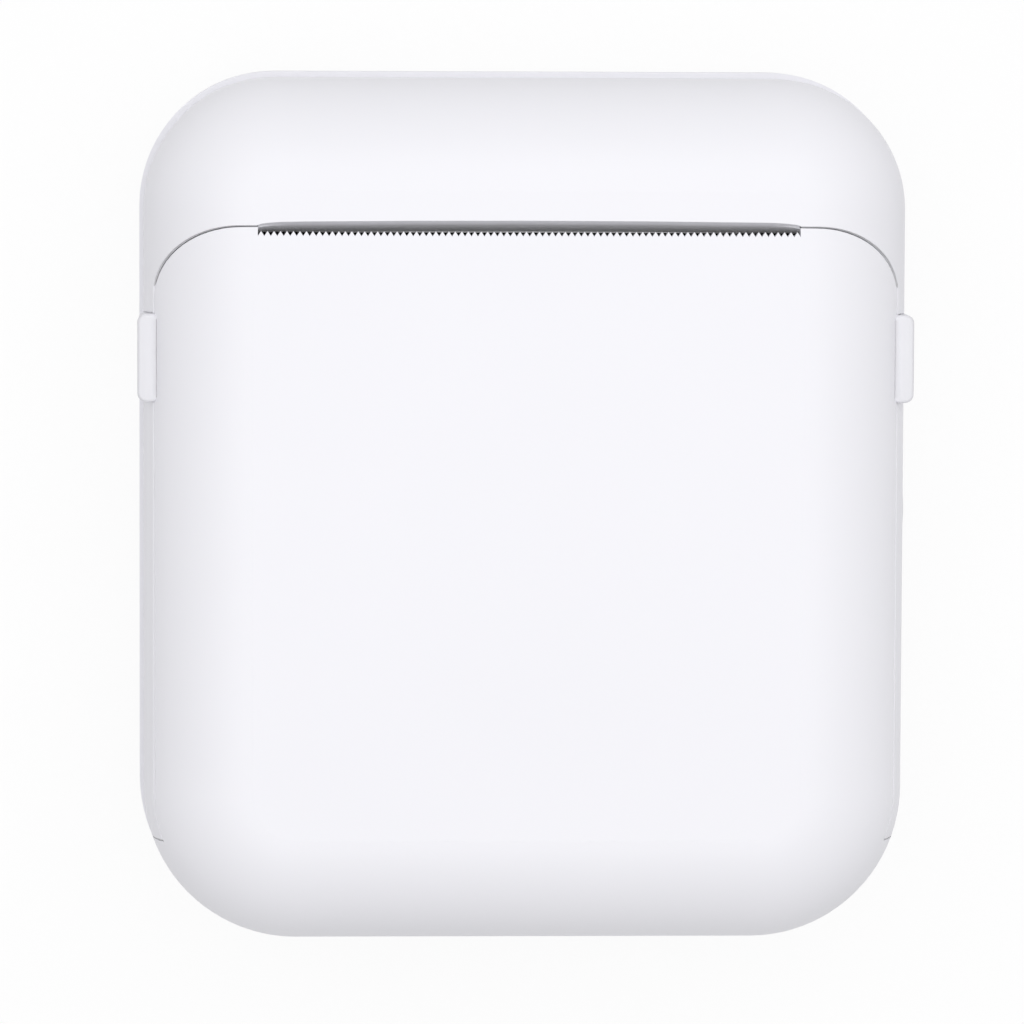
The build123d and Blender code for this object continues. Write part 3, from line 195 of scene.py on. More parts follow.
# Effects that several finishes share
grainLook = {"pitDetail": 3.0, "pitRoughness": 0.6, "swellShare": 0.12, "swellDetail": 1.0}
driftLook = {"detail": 4.0, "roughness": 0.55, "middle": 0.5}
lineLook = {"detail": 2.0, "roughness": 0.5}


def newGroup(name, inputs, outputs):
    group = bpy.data.node_groups.new(name, "ShaderNodeTree")
    for label, kind, value in inputs:
        socket = group.interface.new_socket(label, in_out="INPUT", socket_type=kind)
        socket.default_value = value
    for label, kind in outputs:
        group.interface.new_socket(label, in_out="OUTPUT", socket_type=kind)
    start = makeNode(group, "NodeGroupInput")
    end = makeNode(group, "NodeGroupOutput")
    return group, start, end


def makeMouldGrain(look):  # spark-eroded mould surface: fine pits over a slower swell
    group, start, end = newGroup(
        "mouldGrain",
        [("Scale", "NodeSocketFloat", 2000.0), ("Swell", "NodeSocketFloat", 0.3)],
        [("Height", "NodeSocketFloat"), ("Mask", "NodeSocketFloat")],
    )
    place = makeNode(group, "ShaderNodeTexCoord")
    pitValues = {"Detail": look["pitDetail"], "Roughness": look["pitRoughness"]}
    pits = makeNode(group, "ShaderNodeTexNoise", pitValues)
    swell = makeNode(group, "ShaderNodeTexNoise", {"Detail": look["swellDetail"]})
    blend = makeNode(group, "ShaderNodeMix", data_type="FLOAT")
    slowScale = withConstant(group, "MULTIPLY", start.outputs["Scale"], look["swellShare"])
    join(group, place.outputs["Object"], pits.inputs["Vector"])
    join(group, place.outputs["Object"], swell.inputs["Vector"])
    join(group, start.outputs["Scale"], pits.inputs["Scale"])
    join(group, slowScale, swell.inputs["Scale"])
    join(group, start.outputs["Swell"], blend.inputs["Factor"])
    join(group, pits.outputs["Fac"], blend.inputs["A"])
    join(group, swell.outputs["Fac"], blend.inputs["B"])
    join(group, blend.outputs["Result"], end.inputs["Height"])
    join(group, pits.outputs["Fac"], end.inputs["Mask"])
    return group


def makeMottle(look):  # slow drift of colour and gloss across a moulding
    group, start, end = newGroup(
        "mottle",
        [
            ("Scale", "NodeSocketFloat", 40.0),
            ("Contrast", "NodeSocketFloat", 1.0),
            ("Dark", "NodeSocketColor", (0.8, 0.8, 0.8, 1)),
            ("Light", "NodeSocketColor", (0.9, 0.9, 0.9, 1)),
        ],
        [("Color", "NodeSocketColor"), ("Mask", "NodeSocketFloat")],
    )
    place = makeNode(group, "ShaderNodeTexCoord")
    driftValues = {"Detail": look["detail"], "Roughness": look["roughness"]}
    drift = makeNode(group, "ShaderNodeTexNoise", driftValues)
    mask = makeNode(group, "ShaderNodeMath", {1: look["middle"]}, operation="ADD", use_clamp=True)
    mix = makeNode(group, "ShaderNodeMix", data_type="RGBA")
    join(group, place.outputs["Object"], drift.inputs["Vector"])
    join(group, start.outputs["Scale"], drift.inputs["Scale"])
    centred = withConstant(group, "SUBTRACT", drift.outputs["Fac"], look["middle"])
    spread = combine(group, "MULTIPLY", centred, start.outputs["Contrast"])
    join(group, spread, mask.inputs[0])
    join(group, mask.outputs[0], mix.inputs["Factor"])
    join(group, start.outputs["Dark"], mix.inputs[firstColor])
    join(group, start.outputs["Light"], mix.inputs[secondColor])
    join(group, mix.outputs[mixedColor], end.inputs["Color"])
    join(group, mask.outputs[0], end.inputs["Mask"])
    return group


def makeDrawnLines(look):  # lines left by rolling, drawing or turning, along the axis of least Stretch
    group, start, end = newGroup(
        "drawnLines",
        [("Stretch", "NodeSocketVector", (1.0, 1.0, 1.0)), ("Scale", "NodeSocketFloat", 1500.0)],
        [("Height", "NodeSocketFloat"), ("Mask", "NodeSocketFloat")],
    )
    place = makeNode(group, "ShaderNodeTexCoord")
    squeeze = makeNode(group, "ShaderNodeVectorMath", operation="MULTIPLY")
    lineValues = {"Detail": look["detail"], "Roughness": look["roughness"]}
    lines = makeNode(group, "ShaderNodeTexNoise", lineValues)
    join(group, place.outputs["Object"], squeeze.inputs[0])
    join(group, start.outputs["Stretch"], squeeze.inputs[1])
    join(group, squeeze.outputs[0], lines.inputs["Vector"])
    join(group, start.outputs["Scale"], lines.inputs["Scale"])
    join(group, lines.outputs["Fac"], end.inputs["Height"])
    join(group, lines.outputs["Fac"], end.inputs["Mask"])
    return group


mouldGrain = makeMouldGrain(grainLook)
mottle = makeMottle(driftLook)
drawnLines = makeDrawnLines(lineLook)


def useGroup(tree, group, values):
    node = makeNode(tree, "ShaderNodeGroup", node_tree=group)
    for socket, value in values.items():
        node.inputs[socket].default_value = value
    return node


def finishBase(name, metallic=0.0, ior=1.5):
    material = bpy.data.materials.new(name)
    material.use_nodes = True
    shader = material.node_tree.nodes["Principled BSDF"]
    shader.inputs["Metallic"].default_value = metallic
    shader.inputs["IOR"].default_value = ior
    return material, material.node_tree, shader


def toneOf(tree, look):
    sockets = {"Scale": "driftScale", "Contrast": "contrast", "Dark": "dark", "Light": "light"}
    return useGroup(tree, mottle, {socket: look[key] for socket, key in sockets.items()})


def setRoughness(tree, shader, look, mask):  # spreads a mask over the finish's range of roughness
    span = {"To Min": look["roughLow"], "To Max": look["roughHigh"]}
    node = makeNode(tree, "ShaderNodeMapRange", span)
    join(tree, mask, node.inputs["Value"])
    join(tree, node.outputs["Result"], shader.inputs["Roughness"])


def setBump(tree, shader, look, height):
    node = makeNode(tree, "ShaderNodeBump", {"Strength": look["bump"], "Distance": look["depth"]})
    join(tree, height, node.inputs["Height"])
    join(tree, node.outputs["Normal"], shader.inputs["Normal"])


def objectAxis(tree, axis):
    place = makeNode(tree, "ShaderNodeTexCoord")
    split = makeNode(tree, "ShaderNodeSeparateXYZ")
    join(tree, place.outputs["Object"], split.inputs[0])
    return split.outputs[axis]


def smoothStep(tree, source, low, high):  # 0 at the first level and 1 at the second
    levels = {"From Min": low, "From Max": high}
    node = makeNode(tree, "ShaderNodeMapRange", levels, interpolation_type="SMOOTHSTEP")
    join(tree, source, node.inputs["Value"])
    return node.outputs["Result"]


def stepAt(tree, source, level, width=0.02 * mm):  # 0 below a level and 1 above it
    return smoothStep(tree, source, level - width, level + width)


def mixColors(tree, factor, first, second):
    node = makeNode(tree, "ShaderNodeMix", data_type="RGBA")
    join(tree, factor, node.inputs["Factor"])
    for socket, value in ((firstColor, first), (secondColor, second)):
        if isinstance(value, tuple):
            node.inputs[socket].default_value = value
        else:
            join(tree, value, node.inputs[socket])
    return node.outputs[mixedColor]


# Painted shade in the slot: how deep below the top face the grey on the front frame's slot walls starts
# and is full, and how far it reaches
slotShadeLook = {
    "startDepth": 0.5 * mm,
    "fullDepth": 1.6 * mm,
    "behindEdge": 0.7 * mm,
    "beforeEdge": 2.5 * mm,
    "halfWidth": 29.4 * mm,
}


def guideMask(tree, guide):  # 1 where painted shade greys the front frame's slot walls behind the tear edge, darker with depth
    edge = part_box("cover_shell")[1].y
    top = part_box("front_frame")[1].z
    mask = smoothStep(tree, objectAxis(tree, "Z"), top - guide["startDepth"], top - guide["fullDepth"])
    behind = stepAt(tree, objectAxis(tree, "Y"), edge - guide["beforeEdge"])
    before = withConstant(tree, "LESS_THAN", objectAxis(tree, "Y"), edge + guide["behindEdge"])
    along = makeNode(tree, "ShaderNodeMath", operation="ABSOLUTE")
    join(tree, objectAxis(tree, "X"), along.inputs[0])
    within = withConstant(tree, "LESS_THAN", along.outputs[0], guide["halfWidth"])
    for part in (behind, before, within):
        mask = combine(tree, "MULTIPLY", mask, part)
    return mask


# Mouldings: the shells are matte white with a cool cast, the inner parts plainer and glossier
shellGrain = {
    "driftScale": 22.0, "contrast": 1.4, "grainScale": 2600.0, "swell": 0.25,
    "roughLow": 0.46, "roughHigh": 0.56, "bump": 0.10, "depth": 0.04 * mm,
}
shellWhite = {"dark": (0.860, 0.856, 0.898, 1), "light": (0.885, 0.881, 0.922, 1), **shellGrain}
plasticLooks = {
    "white_shell": shellWhite,
    # the front frame's white, with painted shade grey down inside its slot
    "frontWhite": {**shellWhite, "guide": (0.60, 0.60, 0.61, 1)},
    # the rear shell's white is darker than the other shells' as painted shade, toning down its flat rim,
    # which faces the light
    "rearWhitePaintedShade": {"dark": (0.815, 0.812, 0.850, 1), "light": (0.840, 0.837, 0.875, 1), **shellGrain},
    # the grey of the seam beads, painted shade in the seams
    "seamShadeGrey": {
        "dark": (0.62, 0.62, 0.63, 1), "light": (0.68, 0.68, 0.69, 1), "driftScale": 80.0,
        "contrast": 1.4, "grainScale": 3200.0, "swell": 0.4,
        "roughLow": 0.60, "roughHigh": 0.72, "bump": 0.10, "depth": 0.03 * mm,
    },
    # the tabs' white is darker than the shells' as painted shade, standing in for the shading of their
    # rounded tops
    "white_tab": {
        "dark": (0.735, 0.732, 0.768, 1), "light": (0.760, 0.757, 0.792, 1), "driftScale": 60.0,
        "contrast": 1.4, "grainScale": 3000.0, "swell": 0.2,
        "roughLow": 0.42, "roughHigh": 0.52, "bump": 0.10, "depth": 0.04 * mm,
    },
    "white_inner": {
        "dark": (0.78, 0.78, 0.77, 1), "light": (0.83, 0.83, 0.82, 1), "driftScale": 35.0,
        "contrast": 1.4, "grainScale": 1500.0, "swell": 0.5,
        "roughLow": 0.30, "roughHigh": 0.42, "bump": 0.10, "depth": 0.05 * mm,
    },
    "button_white": {
        "dark": (0.84, 0.845, 0.87, 1), "light": (0.87, 0.875, 0.90, 1), "driftScale": 90.0,
        "contrast": 1.4, "grainScale": 3000.0, "swell": 0.2,
        "roughLow": 0.28, "roughHigh": 0.36, "bump": 0.06, "depth": 0.03 * mm,
    },
    "black_chassis": {
        "dark": (0.012, 0.012, 0.013, 1), "light": (0.024, 0.024, 0.026, 1), "driftScale": 120.0,
        "contrast": 1.4, "grainScale": 1800.0, "swell": 0.5,
        "roughLow": 0.42, "roughHigh": 0.60, "bump": 0.22, "depth": 0.06 * mm,
    },
    "foot_rubber": {
        "dark": (0.42, 0.42, 0.43, 1), "light": (0.48, 0.48, 0.49, 1), "driftScale": 150.0,
        "contrast": 1.4, "grainScale": 2200.0, "swell": 0.4,
        "roughLow": 0.66, "roughHigh": 0.82, "bump": 0.25, "depth": 0.06 * mm,
    },
    "gear_acetal": {
        "dark": (0.80, 0.79, 0.75, 1), "light": (0.85, 0.84, 0.80, 1), "driftScale": 200.0,
        "contrast": 1.4, "grainScale": 1600.0, "swell": 0.6,
        "roughLow": 0.24, "roughHigh": 0.36, "bump": 0.06, "depth": 0.04 * mm,
    },
    "bushing_acetal": {
        "dark": (0.018, 0.018, 0.020, 1), "light": (0.032, 0.032, 0.035, 1), "driftScale": 200.0,
        "contrast": 1.4, "grainScale": 1600.0, "swell": 0.6,
        "roughLow": 0.26, "roughHigh": 0.38, "bump": 0.06, "depth": 0.04 * mm,
    },
    "sensor_black": {
        "dark": (0.008, 0.008, 0.010, 1), "light": (0.020, 0.018, 0.024, 1), "driftScale": 300.0,
        "contrast": 1.4, "grainScale": 2600.0, "swell": 0.3,
        "roughLow": 0.20, "roughHigh": 0.34, "bump": 0.05, "depth": 0.03 * mm,
    },
    "switch_black": {
        "dark": (0.014, 0.014, 0.015, 1), "light": (0.030, 0.030, 0.032, 1), "driftScale": 300.0,
        "contrast": 1.4, "grainScale": 2600.0, "swell": 0.3,
        "roughLow": 0.34, "roughHigh": 0.46, "bump": 0.10, "depth": 0.04 * mm,
    },
}


def mouldedPlastic(name, look):
    material, tree, shader = finishBase(name)
    tone = toneOf(tree, look)
    grain = useGroup(tree, mouldGrain, {"Scale": look["grainScale"], "Swell": look["swell"]})
    color = tone.outputs["Color"]
    # painted shade: the front frame's slot walls turn grey with depth below the top face
    if "guide" in look:
        color = mixColors(tree, guideMask(tree, slotShadeLook), color, look["guide"])
    join(tree, color, shader.inputs["Base Color"])
    setRoughness(tree, shader, look, grain.outputs["Mask"])
    setBump(tree, shader, look, grain.outputs["Height"])
    return material


# Metals: a small number in the stretch draws the pattern out along that axis of the part
metalLooks = {
    "screw_steel": {
        "dark": (0.50, 0.50, 0.52, 1), "light": (0.66, 0.66, 0.68, 1), "driftScale": 500.0,
        "contrast": 2.0, "stretch": (1, 1, 1), "lineScale": 3000.0,
        "roughLow": 0.24, "roughHigh": 0.44, "bump": 0.10, "depth": 0.03 * mm,
    },
    "pin_steel": {
        "dark": (0.55, 0.56, 0.58, 1), "light": (0.68, 0.69, 0.71, 1), "driftScale": 160.0,
        "contrast": 2.0, "stretch": (0.03, 1, 1), "lineScale": 4000.0,
        "roughLow": 0.14, "roughHigh": 0.30, "bump": 0.08, "depth": 0.02 * mm,
    },
    "bracket_steel": {
        "dark": (0.48, 0.49, 0.50, 1), "light": (0.60, 0.61, 0.62, 1), "driftScale": 70.0,
        "contrast": 2.0, "stretch": (0.04, 1, 1), "lineScale": 3500.0,
        "roughLow": 0.26, "roughHigh": 0.46, "bump": 0.12, "depth": 0.03 * mm,
    },
    "motor_can": {
        "dark": (0.58, 0.57, 0.54, 1), "light": (0.70, 0.69, 0.66, 1), "driftScale": 130.0,
        "contrast": 2.0, "stretch": (0.06, 1, 1), "lineScale": 2600.0,
        "roughLow": 0.20, "roughHigh": 0.38, "bump": 0.08, "depth": 0.03 * mm,
    },
    "pinion_brass": {
        "dark": (0.62, 0.44, 0.17, 1), "light": (0.78, 0.58, 0.26, 1), "driftScale": 400.0,
        "contrast": 2.0, "stretch": (0.1, 1, 1), "lineScale": 4000.0,
        "roughLow": 0.18, "roughHigh": 0.34, "bump": 0.10, "depth": 0.03 * mm,
    },
    "head_aluminium": {
        "dark": (0.66, 0.67, 0.68, 1), "light": (0.80, 0.81, 0.82, 1), "driftScale": 90.0,
        "contrast": 2.0, "stretch": (0.03, 1, 1), "lineScale": 3200.0,
        "roughLow": 0.24, "roughHigh": 0.42, "bump": 0.16, "depth": 0.04 * mm,
    },
    "usb_steel": {
        "dark": (0.56, 0.56, 0.57, 1), "light": (0.70, 0.70, 0.71, 1), "driftScale": 260.0,
        "contrast": 2.0, "stretch": (0.05, 1, 1), "lineScale": 4200.0,
        "roughLow": 0.16, "roughHigh": 0.32, "bump": 0.08, "depth": 0.02 * mm,
    },
}
rollerLook = {
    "dark": (0.110, 0.111, 0.115, 1), "light": (0.150, 0.151, 0.156, 1), "driftScale": 180.0,
    "contrast": 1.5, "stretch": (1.0, 0.05, 0.05), "lineScale": 2600.0,
    "roughLow": 0.52, "roughHigh": 0.72, "bump": 0.3, "depth": 0.05 * mm,
}


def linedFinish(name, look, metallic):  # drawn metal, or the roller ground round and round its axle
    material, tree, shader = finishBase(name, metallic)
    tone = toneOf(tree, look)
    lines = useGroup(tree, drawnLines, {"Stretch": look["stretch"], "Scale": look["lineScale"]})
    join(tree, tone.outputs["Color"], shader.inputs["Base Color"])
    setRoughness(tree, shader, look, lines.outputs["Mask"])
    setBump(tree, shader, look, lines.outputs["Height"])
    return material


pouchLook = {
    "dark": (0.34, 0.35, 0.37, 1), "light": (0.50, 0.51, 0.53, 1), "driftScale": 90.0,
    "contrast": 1.2, "metallic": 0.7, "creaseScale": 160.0, "creaseWidth": 0.25,
    "roughLow": 0.30, "roughHigh": 0.48, "bump": 0.35, "depth": 0.08 * mm,
}


def foilPouch(look):  # laminated foil with shallow creases
    material, tree, shader = finishBase("cell_foil", look["metallic"])
    tone = toneOf(tree, look)
    place = makeNode(tree, "ShaderNodeTexCoord")
    creaseValues = {"Scale": look["creaseScale"]}
    creases = makeNode(tree, "ShaderNodeTexVoronoi", creaseValues, feature="DISTANCE_TO_EDGE")
    join(tree, place.outputs["Object"], creases.inputs["Vector"])
    join(tree, tone.outputs["Color"], shader.inputs["Base Color"])
    setRoughness(tree, shader, look, tone.outputs["Mask"])
    setBump(tree, shader, look, smoothStep(tree, creases.outputs["Distance"], 0, look["creaseWidth"]))
    return material


boardLook = {
    "mask": (0.012, 0.085, 0.040, 1), "track": (0.022, 0.135, 0.062, 1), "chip": (0.014, 0.014, 0.016, 1),
    "trackScale": 900.0, "randomness": 0.35, "trackEdge": 0.42, "trackBlur": 0.06,
    "thickness": 1.2 * mm, "partRise": 0.1 * mm, "sideMargin": 1.4 * mm,
    "roughLow": 0.22, "roughHigh": 0.45, "bump": 0.2, "depth": 0.03 * mm,
}


def solderedBoard(look):  # green lacquer over copper tracks, black parts standing above it
    material, tree, shader = finishBase("board_green")
    place = makeNode(tree, "ShaderNodeTexCoord")
    trackValues = {"Scale": look["trackScale"], "Randomness": look["randomness"]}
    tracks = makeNode(tree, "ShaderNodeTexVoronoi", trackValues, feature="F1", distance="MANHATTAN")
    join(tree, place.outputs["Object"], tracks.inputs["Vector"])
    trackMask = stepAt(tree, tracks.outputs["Distance"], look["trackEdge"], look["trackBlur"])
    lacquer = mixColors(tree, trackMask, look["track"], look["mask"])
    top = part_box("main_board")[0].z + look["thickness"]
    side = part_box("side_board")[0].x + look["thickness"]
    aboveMain = stepAt(tree, objectAxis(tree, "Z"), top + look["partRise"])
    besideTray = stepAt(tree, objectAxis(tree, "X"), side + look["partRise"])
    onSide = stepAt(tree, objectAxis(tree, "X"), side - look["sideMargin"])
    partMask = makeNode(tree, "ShaderNodeMix", data_type="FLOAT")
    join(tree, onSide, partMask.inputs["Factor"])
    join(tree, aboveMain, partMask.inputs["A"])
    join(tree, besideTray, partMask.inputs["B"])
    color = mixColors(tree, partMask.outputs["Result"], lacquer, look["chip"])
    join(tree, color, shader.inputs["Base Color"])
    setRoughness(tree, shader, look, partMask.outputs["Result"])
    setBump(tree, shader, look, trackMask)
    return material


headLook = {
    "dark": (0.62, 0.60, 0.54, 1), "light": (0.68, 0.66, 0.60, 1), "driftScale": 240.0, "contrast": 0.8,
    "heater": (0.06, 0.045, 0.035, 1), "heaterHalf": 0.35 * mm,
    "resin": (0.010, 0.010, 0.011, 1), "resinFull": 0.40 * mm, "resinEnd": 0.50 * mm,
    "ior": 1.6, "roughLow": 0.08, "roughHigh": 0.18,
}


def glazedCeramic(look):  # pale glazed strip, a dark heater line at the nip and black resin over the chips
    material, tree, shader = finishBase("head_ceramic", ior=look["ior"])
    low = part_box("thermal_head")[0].y
    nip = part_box("platen_shaft")
    nipHeight = (nip[0].z + nip[1].z) / 2
    tone = toneOf(tree, look)
    height = objectAxis(tree, "Z")
    above = stepAt(tree, height, nipHeight - look["heaterHalf"])
    below = stepAt(tree, height, nipHeight + look["heaterHalf"])
    band = combine(tree, "SUBTRACT", above, below)
    glazed = mixColors(tree, band, tone.outputs["Color"], look["heater"])
    resinEdge = makeNode(tree, "ShaderNodeMapRange", {
        "From Min": low + look["resinFull"], "From Max": low + look["resinEnd"],
        "To Min": 1.0, "To Max": 0.0,
    })
    join(tree, objectAxis(tree, "Y"), resinEdge.inputs["Value"])
    color = mixColors(tree, resinEdge.outputs["Result"], glazed, look["resin"])
    join(tree, color, shader.inputs["Base Color"])
    setRoughness(tree, shader, look, tone.outputs["Mask"])
    return material


pipeLook = {
    "dark": (0.90, 0.95, 0.97, 1), "light": white, "driftScale": 400.0, "contrast": 1.0,
    "grainScale": 2400.0, "swell": 0.3, "transmission": 0.85, "ior": 1.49,
    "roughLow": 0.10, "roughHigh": 0.24,
}


def clearPipe(look):
    material, tree, shader = finishBase("pipe_clear", ior=look["ior"])
    shader.inputs["Transmission Weight"].default_value = look["transmission"]
    tone = toneOf(tree, look)
    grain = useGroup(tree, mouldGrain, {"Scale": look["grainScale"], "Swell": look["swell"]})
    join(tree, tone.outputs["Color"], shader.inputs["Base Color"])
    setRoughness(tree, shader, look, grain.outputs["Mask"])
    return material


filmLook = {
    "film": (0.55, 0.23, 0.035, 1), "track": (0.66, 0.33, 0.07, 1), "pitch": 0.5 * mm,
    "edgeLow": 0.35, "edgeHigh": 0.65,
    "roughLow": 0.20, "roughHigh": 0.30, "bump": 0.25, "depth": 0.04 * mm,
}


def flexFilm(look):  # amber film with copper conductors along it
    material, tree, shader = finishBase("cable_film")
    waveScale = pi / (10 * look["pitch"])  # the wave node repeats every 2 pi / (20 * Scale)
    wave = makeNode(tree, "ShaderNodeTexWave", {"Scale": waveScale}, bands_direction="X")
    place = makeNode(tree, "ShaderNodeTexCoord")
    join(tree, place.outputs["Object"], wave.inputs["Vector"])
    mask = smoothStep(tree, wave.outputs["Fac"], look["edgeLow"], look["edgeHigh"])
    color = mixColors(tree, mask, look["film"], look["track"])
    join(tree, color, shader.inputs["Base Color"])
    setRoughness(tree, shader, look, mask)
    setBump(tree, shader, look, mask)
    return material


finishes = {name: mouldedPlastic(name, look) for name, look in plasticLooks.items()}
finishes.update({name: linedFinish(name, look, metallic=1.0) for name, look in metalLooks.items()})
finishes["platen_rubber"] = linedFinish("platen_rubber", rollerLook, metallic=0.0)
finishes["cell_foil"] = foilPouch(pouchLook)
finishes["board_green"] = solderedBoard(boardLook)
finishes["head_ceramic"] = glazedCeramic(headLook)
finishes["pipe_clear"] = clearPipe(pipeLook)
finishes["cable_film"] = flexFilm(filmLook)

for node in nodes.values():
    for place in node.material_slots:
        place.material = finishes[place.material.name.split(".")[0]]
# the rear shell gets a white darkened with painted shade, and the front frame a white with painted shade
# in its slot
for name, finish in (("rear_shell", "rearWhitePaintedShade"), ("front_frame", "frontWhite")):
    for place in nodes[name].material_slots:
        place.material = finishes[finish]
print("finishes on", len(nodes), "nodes")

# Pull tabs: a soft-cornered pad on each side of the cover, with a cap that runs in over the side rail
tabLook = {
    "padWall": 1.45 * mm,
    "capReach": 2.45 * mm,
    "capDepth": 0.62 * mm,
    "capFall": 0.28 * mm,  # the cap slopes down towards the cover
    "endReach": 0.10 * mm,  # the upper end nearly closes its pocket
    "endLean": 0.90 * mm,  # the lower end leans as the hinge swings it
    "outerRound": 0.95 * mm,
    "innerRound": 0.90 * mm,
    "rimRound": 0.42 * mm,
    "segments": 6,
    "smoothAngle": 40,
    "near": 0.02 * mm,  # how close to a face a corner counts as on it
    "facing": 0.9,  # a face counts as facing along an axis when its normal has this much of it
    "leaning": 0.5,  # and as leaning away from it when it has less than this
}


def pickOnly(piece):
    bpy.ops.object.select_all(action="DESELECT")
    bpy.context.view_layer.objects.active = piece
    piece.select_set(True)


def selectParts(piece, kind, test):
    mesh = bmesh.from_edit_mesh(piece.data)
    for edge in mesh.edges:
        edge.select_set(False)
    for vert in mesh.verts:
        vert.select_set(False)
    for part in getattr(mesh, kind):
        part.select_set(bool(test(part)))
    mesh.select_flush_mode()
    bmesh.update_edit_mesh(piece.data)


def pullTab(side, node, name, look):
    low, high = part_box(node)
    high.y += look["endReach"]
    outer = high.x if side > 0 else -low.x  # x is worked out on one side and mirrored by the sign
    inner = outer - look["padWall"]
    capInner = outer - look["capReach"]
    capLow = high.z - look["capDepth"]
    near = look["near"]

    def rises(edge):
        first, second = edge.verts
        return abs(first.co.z - second.co.z) > near

    def across(edge):
        return [vert.co.x * side for vert in edge.verts]

    def onRim(edge):
        tilts = [face.normal.z for face in edge.link_faces]
        return len(tilts) == 2 and max(tilts) > look["facing"] and min(tilts) < look["leaning"]

    def bevelEdges(radius, test):
        selectParts(piece, "edges", test)
        bpy.ops.mesh.bevel(
            offset=radius,
            offset_type="OFFSET",
            segments=look["segments"],
            affect="EDGES",
            clamp_overlap=True,
        )

    bpy.ops.object.select_all(action="DESELECT")
    bpy.ops.mesh.primitive_cube_add(
        size=1, location=(side * (outer + inner) / 2, (low.y + high.y) / 2, (low.z + high.z) / 2)
    )
    piece = bpy.context.object
    piece.name = name
    piece.data.name = name
    piece.scale = (outer - inner, high.y - low.y, high.z - low.z)
    bpy.ops.object.transform_apply(location=True, rotation=False, scale=True)
    bpy.ops.object.mode_set(mode="EDIT")
    bpy.ops.mesh.select_mode(type="VERT")
    bpy.ops.mesh.select_all(action="SELECT")
    bpy.ops.mesh.bisect(plane_co=(0, 0, capLow), plane_no=(0, 0, 1))
    bpy.ops.mesh.select_mode(type="FACE")
    selectParts(piece, "faces", lambda face: (
        face.normal.x * side < -look["facing"] and face.calc_center_median().z > capLow
    ))
    bpy.ops.mesh.extrude_region_move(TRANSFORM_OT_translate={"value": (side * (capInner - inner), 0, 0)})
    bpy.ops.mesh.select_mode(type="VERT")
    selectParts(piece, "verts", lambda vert: vert.co.z > high.z - near and vert.co.x * side < inner - near)
    bpy.ops.transform.translate(value=(0, 0, -look["capFall"]))
    selectParts(piece, "verts", lambda vert: vert.co.z < low.z + near and vert.co.y < low.y + near)
    bpy.ops.transform.translate(value=(0, look["endLean"], 0))
    bpy.ops.mesh.select_mode(type="EDGE")
    bevelEdges(look["outerRound"], lambda edge: rises(edge) and min(across(edge)) > outer - near)
    bevelEdges(look["innerRound"], lambda edge: rises(edge) and max(across(edge)) < capInner + near)
    bevelEdges(look["rimRound"], onRim)
    bpy.ops.mesh.select_all(action="SELECT")
    bpy.ops.mesh.normals_make_consistent(inside=False)
    bpy.ops.object.mode_set(mode="OBJECT")
    bpy.ops.object.shade_smooth_by_angle(angle=radians(look["smoothAngle"]))
    # the tab's finish carries painted shade in its darker white
    piece.data.materials.append(finishes["white_tab"])
    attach(piece, "cover")
    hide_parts(node)


pullTab(-1, "left_pull_tab", "left_finger_tab", tabLook)
pullTab(1, "right_pull_tab", "right_finger_tab", tabLook)
print("pull tabs modelled")

# Head springs: a merged, smooth-shaded copy of the same coils, which rides with the case
springLook = {"tiltTravel": 0.43 * mm, "mergeWithin": 0.001 * mm, "smoothAngle": 50}


def headSprings(look):
    piece = bpy.data.objects.new("pressure_springs", nodes["head_springs"].data.copy())
    piece.data.name = "pressure_springs"
    bpy.context.scene.collection.objects.link(piece)
    pickOnly(piece)
    bpy.ops.object.mode_set(mode="EDIT")
    bpy.ops.mesh.select_all(action="SELECT")
    bpy.ops.mesh.remove_doubles(threshold=look["mergeWithin"])
    bpy.ops.object.mode_set(mode="OBJECT")
    bpy.ops.object.shade_smooth_by_angle(angle=radians(look["smoothAngle"]))
    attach(piece, "case")
    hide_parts("head_springs")
    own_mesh(piece)


headSprings(springLook)

# Seam beads: a fine grey bead down in the gap between the cover and the front frame, which holds it; its
# grey is painted shade for the seam, lighter than the gap's own shadow
beadLook = {
    "outward": 0.16 * mm,  # from the cover's edge to the middle of the bead
    "radius": 0.13 * mm,
    "resolution": 3,
}


def layBead(name, points, look):
    data = bpy.data.curves.new(name, "CURVE")
    data.dimensions = "3D"
    data.bevel_depth = look["radius"]
    data.bevel_resolution = look["resolution"]
    data.use_fill_caps = True
    line = data.splines.new("POLY")
    line.points.add(len(points) - 1)
    for place, point in zip(line.points, points):
        place.co = (*point, 1)
    curve = bpy.data.objects.new(name, data)
    bpy.context.scene.collection.objects.link(curve)
    pickOnly(curve)
    bpy.ops.object.convert(target="MESH")
    piece = bpy.context.object
    bpy.ops.object.shade_smooth()
    piece.data.materials.clear()
    piece.data.materials.append(finishes["seamShadeGrey"])
    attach(piece, "case")


# Seam bead of painted shade: round each end of the slot
seamBeadLook = {
    **beadLook,
    "coverInset": 1.3 * mm,  # from the side of the front frame to the cover's edge
    "cornerWidth": 9.4 * mm,
    "cornerLength": 7.8 * mm,
    "slotEnd": 29.3 * mm,
    "probeInset": 0.35 * mm,  # how far inside its edge the cover's face gives the height
    "probeRise": 10 * mm,
    "leastLevel": 0.2,  # the least upward part that a face's normal counts as having
    "below": 0.50 * mm,
    "steps": 40,
}


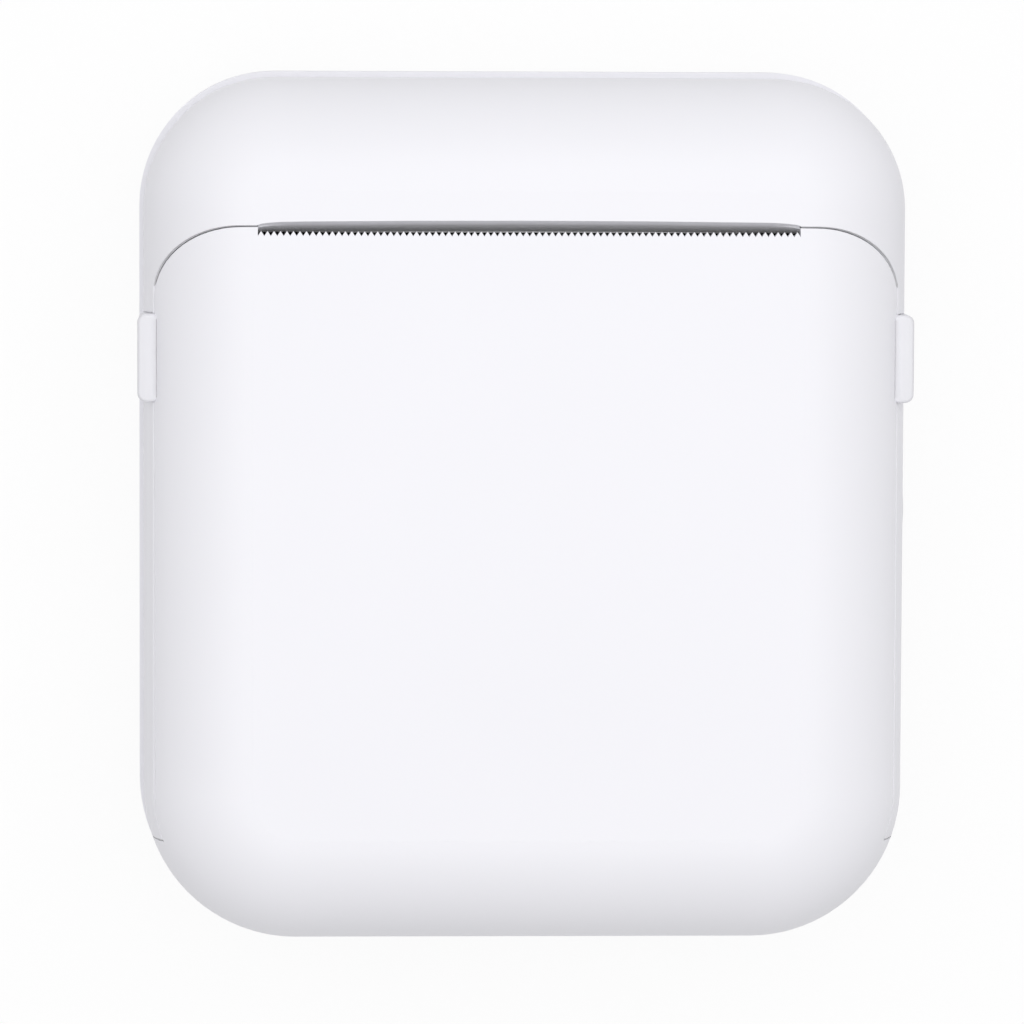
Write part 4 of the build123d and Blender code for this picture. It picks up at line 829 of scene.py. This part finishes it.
def seamShadeBead(side, name, look):
    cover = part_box("cover_shell")[1]
    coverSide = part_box("front_frame")[1].x - look["coverInset"]
    corner = Vector((coverSide - look["cornerWidth"], cover.y - look["cornerLength"]))
    inside = look["outward"] + look["probeInset"]
    route = [(look["slotEnd"], cover.y + look["outward"], look["slotEnd"], cover.y - inside)]
    for step in range(look["steps"] + 1):
        turn = pi / 2 * (1 - step / look["steps"])
        reach = Vector((cos(turn) * look["cornerWidth"], sin(turn) * look["cornerLength"]))
        lean = Vector((cos(turn) / look["cornerWidth"], sin(turn) / look["cornerLength"])).normalized()
        middle = corner + reach + lean * look["outward"]
        probe = corner + reach - lean * inside
        route.append((middle.x, middle.y, probe.x, probe.y))
    points = []
    for x, y, probeX, probeY in route:
        start = Vector((side * probeX, probeY, cover.z + look["probeRise"]))
        hit, normal = nodes["cover_shell"].ray_cast(start, Vector((0, 0, -1)))[1:3]
        away = Vector((x - probeX, y - probeY)).length
        fall = away * Vector((normal.x, normal.y)).length / max(normal.z, look["leastLevel"])
        points.append((side * x, y, hit.z - fall - look["below"]))
    layBead(name, points, look)


seamShadeBead(-1, "left_seam_shade_bead", seamBeadLook)
seamShadeBead(1, "right_seam_shade_bead", seamBeadLook)
print("seam seals laid")

# Rail bead of painted shade: down the lower end of each side rail, where the cover wraps round it
railLook = {
    **beadLook,
    "seamGap": 0.20 * mm,
    "probeInside": 0.10 * mm,  # the rail's own face just inside its end gives the place of the bead
    "probeFrom": 60 * mm,
    "topHeight": 34.9 * mm,
    "topRun": 0.9 * mm,  # how far it runs in along the level top
    "endHeight": 20.6 * mm,
    "below": 0.22 * mm,
    "steps": 48,
}


def railShadeBead(side, name, look):
    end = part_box("front_frame")[0].y
    points = []
    for step in range(look["steps"] + 1):
        height = look["topHeight"] + (look["endHeight"] - look["topHeight"]) * step / look["steps"]
        start = Vector((side * look["probeFrom"], end + look["probeInside"], height))
        hit, normal = nodes["front_frame"].ray_cast(start, Vector((-side, 0, 0)))[1:3]
        inner = hit - Vector((normal.x, 0, normal.z)).normalized() * look["below"]
        points.append((inner.x, end - look["seamGap"] + look["outward"], inner.z))
    x, y, z = points[0]
    points.insert(0, (x - side * look["topRun"], y, z))
    layBead(name, points, look)


railShadeBead(-1, "left_rail_shade_bead", railLook)
railShadeBead(1, "right_rail_shade_bead", railLook)
print("rail seals laid")
